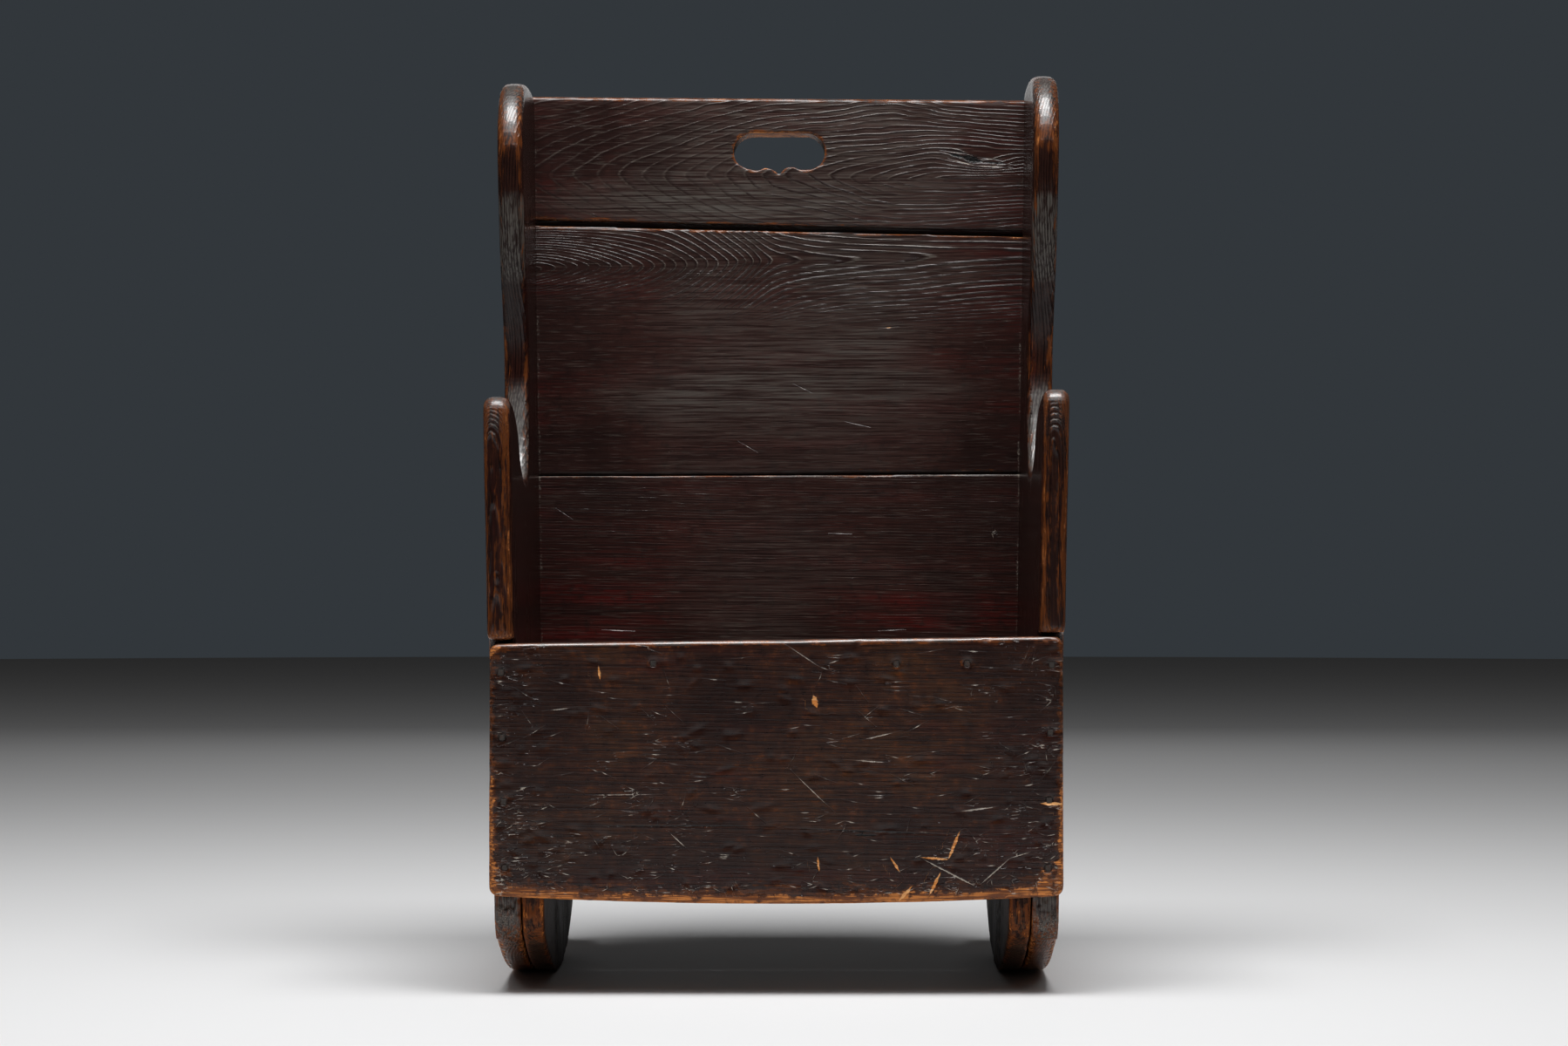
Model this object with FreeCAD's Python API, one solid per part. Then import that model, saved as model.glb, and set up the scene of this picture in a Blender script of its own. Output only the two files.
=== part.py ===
import FreeCAD, Part
import math
import os

from FreeCAD import Vector

# Child's rocking chair nailed together from planks. Millimetres, Z up, the chair faces -Y.
# Left and right are as seen from the front. The origin lies on the floor, in the middle of
# the chair's box. "Distance" below is measured backwards from the front board's face.

# Seat
SEAT_HEIGHT = 253.5
SEAT_THICKNESS = 20.0
SEAT_DEPTH = 268.0
SEAT_FRONT_WIDTH = 150.0
SEAT_BOARD_GAP = 1.0
SEAT_CLEARANCE = 0.3

# Side planks: ear, arm, scoop and rocker foot in one outline
FLOOR_WIDTH = 414.5
SIDE_THICKNESS = 20.5
SIDE_LEAN = 1.12
RIGHT_RISE = 5.5
ARRIS_RADIUS = 6.0
ARM_ABOVE_SEAT = 186.0
ARM_NOSE_RADIUS = 12.0
SCOOP_DISTANCE = 158.0
SCOOP_DEPTH = 58.0
SCOOP_FRONT_RADIUS = 70.0
SCOOP_REAR_RADIUS = 49.0
EAR_FORWARD = 29.0
EAR_ABOVE_BACK = 3.6
EAR_NOSE_RADIUS = 66.0
EAR_CROWN_RADIUS = 330.0
EAR_CROWN_TILT = 10.0
EAR_CORNER_RADIUS = 10.0

# Rocker feet
ROCKER_RADIUS = 390.0
ROCK_POINT = 200.2
TOE_RADIUS = 25.0
TAIL_REACH = 85.0
TAIL_END = 30.0
TAIL_CORNER_RADIUS = 10.0
CHEEK_THICKNESS = 17.0
CHEEK_INSET = 7.0

# Front board, let into a notch in the front edges of the sides
FRONT_THICKNESS = 20.0
FRONT_LIP = 7.2
FRONT_TOP_RISE = 5.5
FRONT_FLOOR_GAP = 73.0
FRONT_BOW = 6.0
FRONT_CORNER_RADIUS = 7.0
FRONT_ARRIS = 3.5
NOTCH_GAP = 2.0

# Back: three boards between the sides, their ends housed in raked grooves
BACK_RAKE = 6.0
BACK_THICKNESS = 20.0
BACK_MARGIN = 12.0
LOWER_BOARD_HEIGHT = 135.4
MIDDLE_BOARD_HEIGHT = 200.5
TOP_BOARD_HEIGHT = 106.5
LOWER_SEAM_GAP = 0.4
UPPER_SEAM_GAP = 4.5
LOWER_SEAM_RISE = 2.1
UPPER_SEAM_FALL = 9.8
TOP_FALL = 3.6
TOP_ARRIS = 4.0
TONGUE_THICKNESS = 6.0
TONGUE_BITE = 5.5
TONGUE_CLEARANCE = 0.2
HOUSING_DEPTH = 8.0
HOUSING_CLEARANCE = 0.15
END_CLEARANCE = 0.3

# Carrying hole in the top board, with a small brace cut into its lower edge
HOLE_WIDTH = 74.0
HOLE_HEIGHT = 32.0
HOLE_BELOW_TOP = 45.5
BRACE_RISE = 3.0
BRACE_RADIUS = 10.0
BRACE_BLEND_RADIUS = 8.0
BRACE_HUMP_SHARE = 0.43

# Square forged nails
NAIL_HEAD = 5.6
NAIL_CROWN = 3.4
NAIL_CROWN_HEIGHT = 1.0
NAIL_RIM_HEIGHT = 0.8
NAIL_SHANK = 3.0
NAIL_TIP = 1.2
NAIL_SINK = 0.8
NAIL_BITE = 25.0
CHEEK_NAIL_BITE_SHARE = 0.75
NAIL_CLEARANCE = 0.05
FRONT_NAILS = 4
FRONT_NAIL_MARGIN = 21.0
SEAT_EDGE_NAIL_SHARES = (-0.47, 0.46, 0.73)
SEAT_NAIL_SHARES = (0.25, 0.75)
BACK_NAIL_SHARES = (0.25, 0.75)
CHEEK_NAIL_SHARES = ((0.2, 0.36), (0.2, 0.78), (0.62, 0.24), (0.62, 0.78), (0.98, 0.5))

# Sizes worked out from the driving dimensions
LEAN_SLOPE = math.tan(math.radians(SIDE_LEAN))
LEAN_STRETCH = 1.0 / math.cos(math.radians(SIDE_LEAN))
RAKE_SIN = math.sin(math.radians(BACK_RAKE))
RAKE_COS = math.cos(math.radians(BACK_RAKE))
SEAT_BACK_DISTANCE = FRONT_THICKNESS + SEAT_DEPTH
CHEEK_TOP = SEAT_HEIGHT - SEAT_THICKNESS
FRONT_TOP = SEAT_HEIGHT + FRONT_LIP
LOWER_SEAM = LOWER_BOARD_HEIGHT
UPPER_SEAM = LOWER_SEAM + LOWER_SEAM_GAP + MIDDLE_BOARD_HEIGHT
BACK_HEIGHT = UPPER_SEAM + UPPER_SEAM_GAP + TOP_BOARD_HEIGHT
ARM_HEIGHT = SEAT_HEIGHT + ARM_ABOVE_SEAT
EAR_HEIGHT = SEAT_HEIGHT + BACK_HEIGHT * RAKE_COS + EAR_ABOVE_BACK
BACK_FACE_OFFSET = SEAT_BACK_DISTANCE * RAKE_COS - SEAT_HEIGHT * RAKE_SIN
REAR_EDGE_OFFSET = BACK_FACE_OFFSET + BACK_THICKNESS + BACK_MARGIN
ARRIS_ROOM = min(SIDE_THICKNESS / 2, ARM_NOSE_RADIUS, TAIL_CORNER_RADIUS, EAR_CORNER_RADIUS)
SIDE_ARRIS = min(ARRIS_RADIUS, 0.8 * ARRIS_ROOM)
MARGIN = 60.0
TOUCH = 0.01


def raked_distance(offset, height):
    """Distance of a plane parallel to the back, at a height above the floor."""
    return (offset + height * RAKE_SIN) / RAKE_COS


OVERALL_DEPTH = raked_distance(REAR_EDGE_OFFSET, CHEEK_TOP) + TAIL_REACH


def outer_half(height):
    """Half width over the sides' outer faces."""
    return FLOOR_WIDTH / 2 + height * LEAN_SLOPE


def inner_half(height):
    """Half width between the sides' inner faces."""
    return outer_half(height) - SIDE_THICKNESS * LEAN_STRETCH


def rocker_height(distance):
    """Height of the rocker's running surface above the floor."""
    return ROCKER_RADIUS - math.sqrt(ROCKER_RADIUS ** 2 - (distance - ROCK_POINT) ** 2)


def front_top(x):
    """Height of the front board's top edge, which rises to the right."""
    return FRONT_TOP + FRONT_TOP_RISE * x / (2 * outer_half(FRONT_TOP))


def polar(center, radius, angle):
    """A point of the side view as (distance, height)."""
    turn = math.radians(angle)
    return (center[0] + radius * math.cos(turn), center[1] + radius * math.sin(turn))


def side_point(place):
    return Vector(0, place[0], place[1])


def line(start, end):
    return Part.LineSegment(side_point(start), side_point(end)).toShape()


def arc(center, radius, start, end):
    """Arc of the side view between two angles."""
    places = [polar(center, radius, angle) for angle in (start, (start + end) / 2, end)]
    return Part.Arc(*[side_point(place) for place in places]).toShape()


def across(edges):
    """Solid that carries a closed outline of the side view across the whole chair."""
    reach = outer_half(EAR_HEIGHT) + MARGIN
    face = Part.Face(Part.Wire(edges))
    face.translate(Vector(-reach, 0, 0))
    return face.extrude(Vector(2 * reach, 0, 0))


def closed_lines(places):
    return [line(start, end) for start, end in zip(places, places[1:] + places[:1])]


def leaning_slab(hand, inner, outer):
    """Slab parallel to a side plank; inner and outer are measured inwards from its outer face."""
    low = -MARGIN
    high = EAR_HEIGHT + RIGHT_RISE + MARGIN
    corners = []
    for height, depth in ((low, inner), (low, outer), (high, outer), (high, inner)):
        corners.append(Vector(hand * (outer_half(height) - depth * LEAN_STRETCH), -MARGIN, height))
    face = Part.Face(Part.makePolygon(corners + corners[:1]))
    return face.extrude(Vector(0, OVERALL_DEPTH + 2 * MARGIN, 0))


def between_sides(clearance):
    """Wedge-shaped room between the two sides, less a clearance at each."""
    low = -MARGIN
    high = EAR_HEIGHT + MARGIN
    corners = []
    for hand, height in ((-1, low), (1, low), (1, high), (-1, high)):
        corners.append(Vector(hand * (inner_half(height) - clearance), -MARGIN, height))
    face = Part.Face(Part.makePolygon(corners + corners[:1]))
    return face.extrude(Vector(0, OVERALL_DEPTH + 2 * MARGIN, 0))


def toe_center():
    """Centre of the rounding between the upright front edge and the rocker."""
    distance = FRONT_THICKNESS + TOE_RADIUS
    reach = math.sqrt((ROCKER_RADIUS - TOE_RADIUS) ** 2 - (ROCK_POINT - distance) ** 2)
    return (distance, ROCKER_RADIUS - reach)


def rocker_edges(rear, top):
    """From the tail's lower corner along the floor and up the toe to a height."""
    hub = (ROCK_POINT, ROCKER_RADIUS)
    toe = toe_center()
    tail_angle = math.degrees(math.atan2(rocker_height(rear) - hub[1], rear - hub[0]))
    toe_angle = math.degrees(math.atan2(toe[1] - hub[1], toe[0] - hub[0]))
    return [
        arc(hub, ROCKER_RADIUS, tail_angle, toe_angle),
        arc(toe, TOE_RADIUS, toe_angle + 360, 180),
        line((FRONT_THICKNESS, toe[1]), (FRONT_THICKNESS, top)),
    ]


def tail_sweep():
    """Centre and radius of the hollow curve that runs the rear edge out into the rocker's tail."""
    root = (raked_distance(REAR_EDGE_OFFSET, CHEEK_TOP), CHEEK_TOP)
    tip = (OVERALL_DEPTH, rocker_height(OVERALL_DEPTH) + TAIL_END)
    span = (tip[0] - root[0], tip[1] - root[1])
    radius = (span[0] ** 2 + span[1] ** 2) / (2 * (span[0] * RAKE_COS - span[1] * RAKE_SIN))
    return (root[0] + radius * RAKE_COS, root[1] - radius * RAKE_SIN), radius


def arm_and_scoop_edges(arm_top, shoulder):
    """Front edge, rounded nose, falling arm and scoop, up to the waist."""
    nose = ARM_NOSE_RADIUS
    run = SCOOP_DISTANCE - nose
    bend = 2 * math.degrees(math.atan2(SCOOP_DEPTH, run))
    fall_radius = run / math.sin(math.radians(bend)) - SCOOP_FRONT_RADIUS
    bottom = arm_top - SCOOP_DEPTH
    front_center = (SCOOP_DISTANCE, bottom + SCOOP_FRONT_RADIUS)
    rear_center = (SCOOP_DISTANCE, bottom + SCOOP_REAR_RADIUS)
    return [
        line((0, shoulder), (0, arm_top - nose)),
        arc((nose, arm_top - nose), nose, 180, 90),
        arc((nose, arm_top - fall_radius), fall_radius, 90, 90 - bend),
        arc(front_center, SCOOP_FRONT_RADIUS, 270 - bend, 270),
        arc(rear_center, SCOOP_REAR_RADIUS, 270, 360),
    ]


def ear_and_tail_edges(arm_top, ear_top):
    """From the waist round the ear and down the rear edge to the tail's lower corner."""
    waist = (SCOOP_DISTANCE + SCOOP_REAR_RADIUS, arm_top - SCOOP_DEPTH + SCOOP_REAR_RADIUS)
    crown_turn = 90 + EAR_CROWN_TILT
    crown_center_height = ear_top - EAR_CROWN_RADIUS
    nose_shift = EAR_CROWN_RADIUS - EAR_NOSE_RADIUS
    nose_center = (
        waist[0] - EAR_FORWARD + EAR_NOSE_RADIUS,
        crown_center_height + nose_shift * math.sin(math.radians(crown_turn)),
    )
    crown_center = (
        nose_center[0] - nose_shift * math.cos(math.radians(crown_turn)),
        crown_center_height,
    )
    rise = nose_center[1] - waist[1]
    bend = 2 * math.degrees(math.atan2(EAR_FORWARD, rise))
    wave = rise / (2 * math.sin(math.radians(bend)))

    corner_reach = EAR_CROWN_RADIUS - EAR_CORNER_RADIUS
    crown_offset = crown_center[0] * RAKE_COS - crown_center[1] * RAKE_SIN
    corner_share = (REAR_EDGE_OFFSET - EAR_CORNER_RADIUS - crown_offset) / corner_reach
    corner_turn = math.degrees(math.acos(corner_share)) - BACK_RAKE
    corner_center = polar(crown_center, corner_reach, corner_turn)
    rear_top = polar(corner_center, EAR_CORNER_RADIUS, -BACK_RAKE)

    sweep_center, sweep_radius = tail_sweep()
    tail_distance = OVERALL_DEPTH - TAIL_CORNER_RADIUS
    tail_reach = sweep_radius + TAIL_CORNER_RADIUS
    tail_drop = math.sqrt(tail_reach ** 2 - (sweep_center[0] - tail_distance) ** 2)
    tail_center = (tail_distance, sweep_center[1] - tail_drop)
    tail_turn = math.degrees(math.atan2(tail_drop, sweep_center[0] - tail_distance))
    return [
        arc((waist[0] - wave, waist[1]), wave, 0, bend),
        arc((waist[0] - EAR_FORWARD + wave, nose_center[1]), wave, 180 + bend, 180),
        arc(nose_center, EAR_NOSE_RADIUS, 180, crown_turn),
        arc(crown_center, EAR_CROWN_RADIUS, crown_turn, corner_turn),
        arc(corner_center, EAR_CORNER_RADIUS, corner_turn, -BACK_RAKE),
        line(rear_top, polar(sweep_center, sweep_radius, 180 - BACK_RAKE)),
        arc(sweep_center, sweep_radius, 180 - BACK_RAKE, 180 + tail_turn),
        arc(tail_center, TAIL_CORNER_RADIUS, tail_turn, 0),
        line((OVERALL_DEPTH, tail_center[1]), (OVERALL_DEPTH, rocker_height(OVERALL_DEPTH))),
    ]


def edge_middle(edge):
    return edge.valueAt((edge.FirstParameter + edge.LastParameter) / 2)


def on_leaning_face(edge, hand, depth):
    """Whether an edge lies on a side plank's face, at a depth in from the outer one."""
    places = [vertex.Point for vertex in edge.Vertexes] + [edge_middle(edge)]
    for place in places:
        face_x = hand * (outer_half(place.z) - depth * LEAN_STRETCH)
        if abs(place.x - face_x) > TOUCH:
            return False
    return True


def side_plank(hand, rise):
    """One side with its handled edges rounded over; the rocker's edges stay square."""
    shoulder = front_top(hand * outer_half(FRONT_TOP)) + NOTCH_GAP
    arm_top = ARM_HEIGHT + rise
    edges = arm_and_scoop_edges(arm_top, shoulder)
    edges += ear_and_tail_edges(arm_top, EAR_HEIGHT + rise)
    edges += rocker_edges(OVERALL_DEPTH, shoulder)
    edges.append(line((FRONT_THICKNESS, shoulder), (0, shoulder)))
    plank = across(edges).common(leaning_slab(hand, 0, SIDE_THICKNESS)).Solids[0]
    handled = []
    for edge in plank.Edges:
        middle = edge_middle(edge)
        above_notch = middle.z > shoulder + TOUCH
        at_rear = middle.y > ROCK_POINT and middle.z > rocker_height(middle.y) + TOUCH
        on_face = on_leaning_face(edge, hand, 0) or on_leaning_face(edge, hand, SIDE_THICKNESS)
        if on_face and (above_notch or at_rear):
            handled.append(edge)
    plank = plank.makeFillet(SIDE_ARRIS, handled)
    return plank.cut(back_housing(hand))


def back_housing(hand):
    """Raked groove for the ends of the back boards, open at the top."""
    front = BACK_FACE_OFFSET - HOUSING_CLEARANCE
    rear = BACK_FACE_OFFSET + BACK_THICKNESS + HOUSING_CLEARANCE
    top = EAR_HEIGHT + RIGHT_RISE + MARGIN
    places = []
    for offset, height in ((front, CHEEK_TOP), (rear, CHEEK_TOP), (rear, top), (front, top)):
        places.append((raked_distance(offset, height), height))
    groove = across(closed_lines(places))
    floor_of_groove = SIDE_THICKNESS - HOUSING_DEPTH
    return groove.common(leaning_slab(hand, floor_of_groove, SIDE_THICKNESS + MARGIN))


def rocker_cheek(hand):
    """Inner layer of a rocker, whose level top carries the seat and the back."""
    sweep_center, sweep_radius = tail_sweep()
    radius = sweep_radius + CHEEK_INSET
    rear = OVERALL_DEPTH - CHEEK_INSET
    start = 180 - math.degrees(math.asin((CHEEK_TOP - sweep_center[1]) / radius))
    end = 180 + math.degrees(math.acos((sweep_center[0] - rear) / radius))
    top_rear = polar(sweep_center, radius, start)
    edges = [
        line((FRONT_THICKNESS, CHEEK_TOP), top_rear),
        arc(sweep_center, radius, start, end),
        line(polar(sweep_center, radius, end), (rear, rocker_height(rear))),
    ]
    edges += rocker_edges(rear, CHEEK_TOP)
    inner = SIDE_THICKNESS + CHEEK_THICKNESS
    return across(edges).common(leaning_slab(hand, SIDE_THICKNESS, inner)).Solids[0]


def front_board():
    """Wide board with a bowed lower edge, worn round at its front edges."""
    half = outer_half((FRONT_TOP + FRONT_FLOOR_GAP) / 2)
    top_left = Vector(-half, 0, front_top(-half))
    top_right = Vector(half, 0, front_top(half))
    low_left = Vector(-half, 0, FRONT_FLOOR_GAP)
    low_right = Vector(half, 0, FRONT_FLOOR_GAP)
    low_middle = Vector(0, 0, FRONT_FLOOR_GAP - FRONT_BOW)
    edges = [
        Part.LineSegment(low_left, top_left).toShape(),
        Part.LineSegment(top_left, top_right).toShape(),
        Part.LineSegment(top_right, low_right).toShape(),
        Part.Arc(low_right, low_middle, low_left).toShape(),
    ]
    board = Part.Face(Part.Wire(edges)).extrude(Vector(0, FRONT_THICKNESS, 0))
    corners = [edge for edge in board.Edges if abs(edge_middle(edge).y - FRONT_THICKNESS / 2) < TOUCH]
    board = board.makeFillet(FRONT_CORNER_RADIUS, corners)
    face_edges = [edge for edge in board.Edges if edge.BoundBox.YMax < TOUCH]
    return board.makeFillet(FRONT_ARRIS, face_edges)


def seat_board(front, rear_places):
    """Seat board from an upright front edge to a rear edge given as two places."""
    low_rear, high_rear = rear_places
    places = [(front, CHEEK_TOP), low_rear, high_rear, (front, SEAT_HEIGHT)]
    return across(closed_lines(places)).common(between_sides(SEAT_CLEARANCE)).Solids[0]


def seat_boards():
    split = FRONT_THICKNESS + SEAT_FRONT_WIDTH
    front = seat_board(FRONT_THICKNESS, [(split, CHEEK_TOP), (split, SEAT_HEIGHT)])
    rear_edge = []
    for height in (CHEEK_TOP, SEAT_HEIGHT):
        rear_edge.append((raked_distance(BACK_FACE_OFFSET - SEAT_CLEARANCE, height), height))
    rear = seat_board(split + SEAT_BOARD_GAP, rear_edge)
    return front, rear


def back_half(up):
    """Half length of a back board, at a height up the slope of the back."""
    height = SEAT_HEIGHT + up * RAKE_COS - BACK_THICKNESS / 2 * RAKE_SIN
    return inner_half(height) + HOUSING_DEPTH - END_CLEARANCE


def flat_board(low, high, low_rise, high_rise, front, rear):
    """Board in the plane of the back, lying flat: X across, Y through, Z up the slope."""
    corners = []
    for up, rise, hands in ((low, low_rise, (-1, 1)), (high, high_rise, (1, -1))):
        for hand in hands:
            level = up + hand * rise / 2
            corners.append(Vector(hand * back_half(level), front, level))
    face = Part.Face(Part.makePolygon(corners + corners[:1]))
    return face.extrude(Vector(0, rear - front, 0))


def tongue_band(seam, rise, height, clearance):
    """The tongue above a seam, or with a clearance the groove that takes it."""
    front = (BACK_THICKNESS - TONGUE_THICKNESS) / 2 - clearance
    rear = (BACK_THICKNESS + TONGUE_THICKNESS) / 2 + clearance
    root = TONGUE_THICKNESS / 2
    return flat_board(seam - root, seam + height + clearance, rise, rise, front, rear)


def lean_back(shape):
    """Turns a shape from the flat layout of the back into its place in the chair."""
    turn = FreeCAD.Rotation(Vector(1, 0, 0), -BACK_RAKE)
    shape.Placement = FreeCAD.Placement(Vector(0, SEAT_BACK_DISTANCE, SEAT_HEIGHT), turn)
    return shape


def brace_edges(bottom, half_straight):
    """Left half of the hole's lower edge: a straight, a hollow blend and a hump to the middle."""
    hump_x = -BRACE_HUMP_SHARE * half_straight
    hump_level = bottom + BRACE_RISE - BRACE_RADIUS
    blend_level = bottom + BRACE_BLEND_RADIUS
    reach = BRACE_RADIUS + BRACE_BLEND_RADIUS
    blend_x = hump_x - math.sqrt(reach ** 2 - (blend_level - hump_level) ** 2)
    meet_share = BRACE_RADIUS / reach
    meet_x = hump_x + (blend_x - hump_x) * meet_share
    meet_level = hump_level + (blend_level - hump_level) * meet_share
    cusp_level = hump_level + math.sqrt(BRACE_RADIUS ** 2 - hump_x ** 2)
    blend_turn = math.atan2(meet_level - blend_level, meet_x - blend_x)
    blend_half = (blend_turn - math.pi / 2) / 2
    blend_middle = (
        blend_x + BRACE_BLEND_RADIUS * math.cos(blend_half),
        blend_level + BRACE_BLEND_RADIUS * math.sin(blend_half),
    )
    return [
        ((-half_straight, bottom), None, (blend_x, bottom)),
        ((blend_x, bottom), blend_middle, (meet_x, meet_level)),
        ((meet_x, meet_level), (hump_x, bottom + BRACE_RISE), (0, cusp_level)),
    ]


def hand_hole():
    """Cutter for the carrying hole, in the flat layout of the back."""
    radius = HOLE_HEIGHT / 2
    half_straight = HOLE_WIDTH / 2 - radius
    middle = BACK_HEIGHT - HOLE_BELOW_TOP
    left = brace_edges(-radius, half_straight)
    pieces = list(left)
    for start, through, end in left:
        mirrored = None if through is None else (-through[0], through[1])
        pieces.append(((-start[0], start[1]), mirrored, (-end[0], end[1])))
    for hand in (-1, 1):
        pieces.append((
            (hand * half_straight, -radius),
            (hand * HOLE_WIDTH / 2, 0),
            (hand * half_straight, radius),
        ))
    pieces.append(((-half_straight, radius), None, (half_straight, radius)))
    edges = []
    for start, through, end in pieces:
        points = [Vector(place[0], -MARGIN, middle + place[1]) for place in (start, through, end) if place]
        curve = Part.LineSegment(*points) if through is None else Part.Arc(*points)
        edges.append(curve.toShape())
    outline = Part.Wire(Part.__sortEdges__(edges))
    return Part.Face(outline).extrude(Vector(0, BACK_THICKNESS + 2 * MARGIN, 0))


def back_lower_board():
    """Lowest back board, cut level below so that it stands on the cheeks."""
    below_seat = -(SEAT_THICKNESS + MARGIN)
    board = flat_board(below_seat, LOWER_SEAM, 0, LOWER_SEAM_RISE, 0, BACK_THICKNESS)
    board = board.fuse(tongue_band(LOWER_SEAM, LOWER_SEAM_RISE, LOWER_SEAM_GAP + TONGUE_BITE, 0))
    reach = 2 * outer_half(EAR_HEIGHT)
    waste = Part.makeBox(2 * reach, OVERALL_DEPTH + MARGIN, CHEEK_TOP + MARGIN, Vector(-reach, 0, -MARGIN))
    return lean_back(board.removeSplitter()).cut(waste).Solids[0]


def back_middle_board():
    low = LOWER_SEAM + LOWER_SEAM_GAP
    board = flat_board(low, UPPER_SEAM, LOWER_SEAM_RISE, -UPPER_SEAM_FALL, 0, BACK_THICKNESS)
    board = board.fuse(tongue_band(UPPER_SEAM, -UPPER_SEAM_FALL, UPPER_SEAM_GAP + TONGUE_BITE, 0))
    reach = LOWER_SEAM_GAP + TONGUE_BITE
    board = board.cut(tongue_band(LOWER_SEAM, LOWER_SEAM_RISE, reach, TONGUE_CLEARANCE))
    return lean_back(board.removeSplitter().Solids[0])


def back_top_board():
    """Top board with the carrying hole and a rounded upper edge."""
    low = UPPER_SEAM + UPPER_SEAM_GAP
    board = flat_board(low, BACK_HEIGHT, -UPPER_SEAM_FALL, -TOP_FALL, 0, BACK_THICKNESS)
    long_top = []
    for edge in board.Edges:
        middle = edge_middle(edge)
        along = abs(middle.x) < outer_half(0) / 2
        through = abs(middle.y - BACK_THICKNESS / 2) < TOUCH
        if along and not through and middle.z > (low + BACK_HEIGHT) / 2:
            long_top.append(edge)
    board = board.makeFillet(TOP_ARRIS, long_top)
    reach = UPPER_SEAM_GAP + TONGUE_BITE
    board = board.cut(tongue_band(UPPER_SEAM, -UPPER_SEAM_FALL, reach, TONGUE_CLEARANCE))
    return lean_back(board.cut(hand_hole()).Solids[0])


def tapered(levels):
    """Square bar through (depth, width) levels, pointing along +Z."""
    rings = []
    for depth, width in levels:
        half = width / 2
        corners = [Vector(x * half, y * half, depth) for x, y in ((-1, -1), (1, -1), (1, 1), (-1, 1))]
        rings.append(Part.makePolygon(corners + corners[:1]))
    return Part.makeLoft(rings, True, True)


def aimed(shape, place, direction):
    shape.Placement = FreeCAD.Placement(place, FreeCAD.Rotation(Vector(0, 0, 1), direction))
    return shape


def nail(place, direction, length):
    """Forged nail whose crowned head is sunk just under the surface at a place."""
    rim = NAIL_SINK + NAIL_CROWN_HEIGHT
    under = rim + NAIL_RIM_HEIGHT
    head = tapered([(NAIL_SINK, NAIL_CROWN), (rim, NAIL_HEAD), (under, NAIL_HEAD)])
    shank = tapered([(rim, NAIL_SHANK), (length, NAIL_TIP)])
    return aimed(head.fuse(shank).removeSplitter(), place, direction)


def nail_hole(place, direction, length):
    """Room for a nail, open at the surface it is driven into."""
    rim = NAIL_SINK + NAIL_CROWN_HEIGHT
    under = rim + NAIL_RIM_HEIGHT + NAIL_CLEARANCE
    gap = 2 * NAIL_CLEARANCE
    head = tapered([(-NAIL_HEAD, NAIL_HEAD + gap), (under, NAIL_HEAD + gap)])
    shank = tapered([(rim, NAIL_SHANK + gap), (length + gap, NAIL_TIP + gap)])
    return aimed(head.fuse(shank), place, direction)


def front_nail_drives(hand):
    """Through the front board's end into the middle of the side's front edge."""
    high = front_top(hand * outer_half(FRONT_TOP)) - FRONT_NAIL_MARGIN
    low = FRONT_FLOOR_GAP + FRONT_NAIL_MARGIN
    step = (high - low) / (FRONT_NAILS - 1)
    drives = []
    for index in range(FRONT_NAILS):
        height = low + index * step
        x = hand * (outer_half(height) + inner_half(height)) / 2
        drives.append((Vector(x, 0, height), Vector(0, 1, 0), FRONT_THICKNESS + NAIL_BITE))
    return drives


def seat_front_drives():
    """Through the front board into the seat's front edge."""
    height = (SEAT_HEIGHT + CHEEK_TOP) / 2
    drives = []
    for share in SEAT_EDGE_NAIL_SHARES:
        place = Vector(share * inner_half(height), 0, height)
        drives.append((place, Vector(0, 1, 0), FRONT_THICKNESS + NAIL_BITE))
    return drives


def seat_back_drives():
    """Through the lowest back board into the seat's rear edge."""
    height = (SEAT_HEIGHT + CHEEK_TOP) / 2
    rear = Vector(0, BACK_THICKNESS * RAKE_COS, -BACK_THICKNESS * RAKE_SIN)
    drives = []
    for share in SEAT_EDGE_NAIL_SHARES:
        face = Vector(share * inner_half(height), raked_distance(BACK_FACE_OFFSET, height), height)
        drives.append((face + rear, Vector(0, -RAKE_COS, RAKE_SIN), BACK_THICKNESS + NAIL_BITE))
    return drives


def seat_nail_drives(hand):
    """Down through both seat boards into the top of a cheek."""
    split = FRONT_THICKNESS + SEAT_FRONT_WIDTH
    spans = ((FRONT_THICKNESS, split), (split + SEAT_BOARD_GAP, SEAT_BACK_DISTANCE))
    x = hand * (inner_half(CHEEK_TOP) - CHEEK_THICKNESS / 2)
    drives = []
    for start, end in spans:
        for share in SEAT_NAIL_SHARES:
            place = Vector(x, start + share * (end - start), SEAT_HEIGHT)
            drives.append((place, Vector(0, 0, -1), SEAT_THICKNESS + NAIL_BITE))
    return drives


def outward(hand):
    return Vector(hand / LEAN_STRETCH, 0, -LEAN_SLOPE / LEAN_STRETCH)


def cheek_nail_drives(hand):
    """From inside through a cheek into the side plank, short of its outer face."""
    length = CHEEK_THICKNESS + CHEEK_NAIL_BITE_SHARE * SIDE_THICKNESS
    drives = []
    for back_share, height_share in CHEEK_NAIL_SHARES:
        height = height_share * CHEEK_TOP
        x = hand * (inner_half(height) - CHEEK_THICKNESS * LEAN_STRETCH)
        place = Vector(x, FRONT_THICKNESS + back_share * SEAT_DEPTH, height)
        drives.append((place, outward(hand), length))
    return drives


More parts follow.
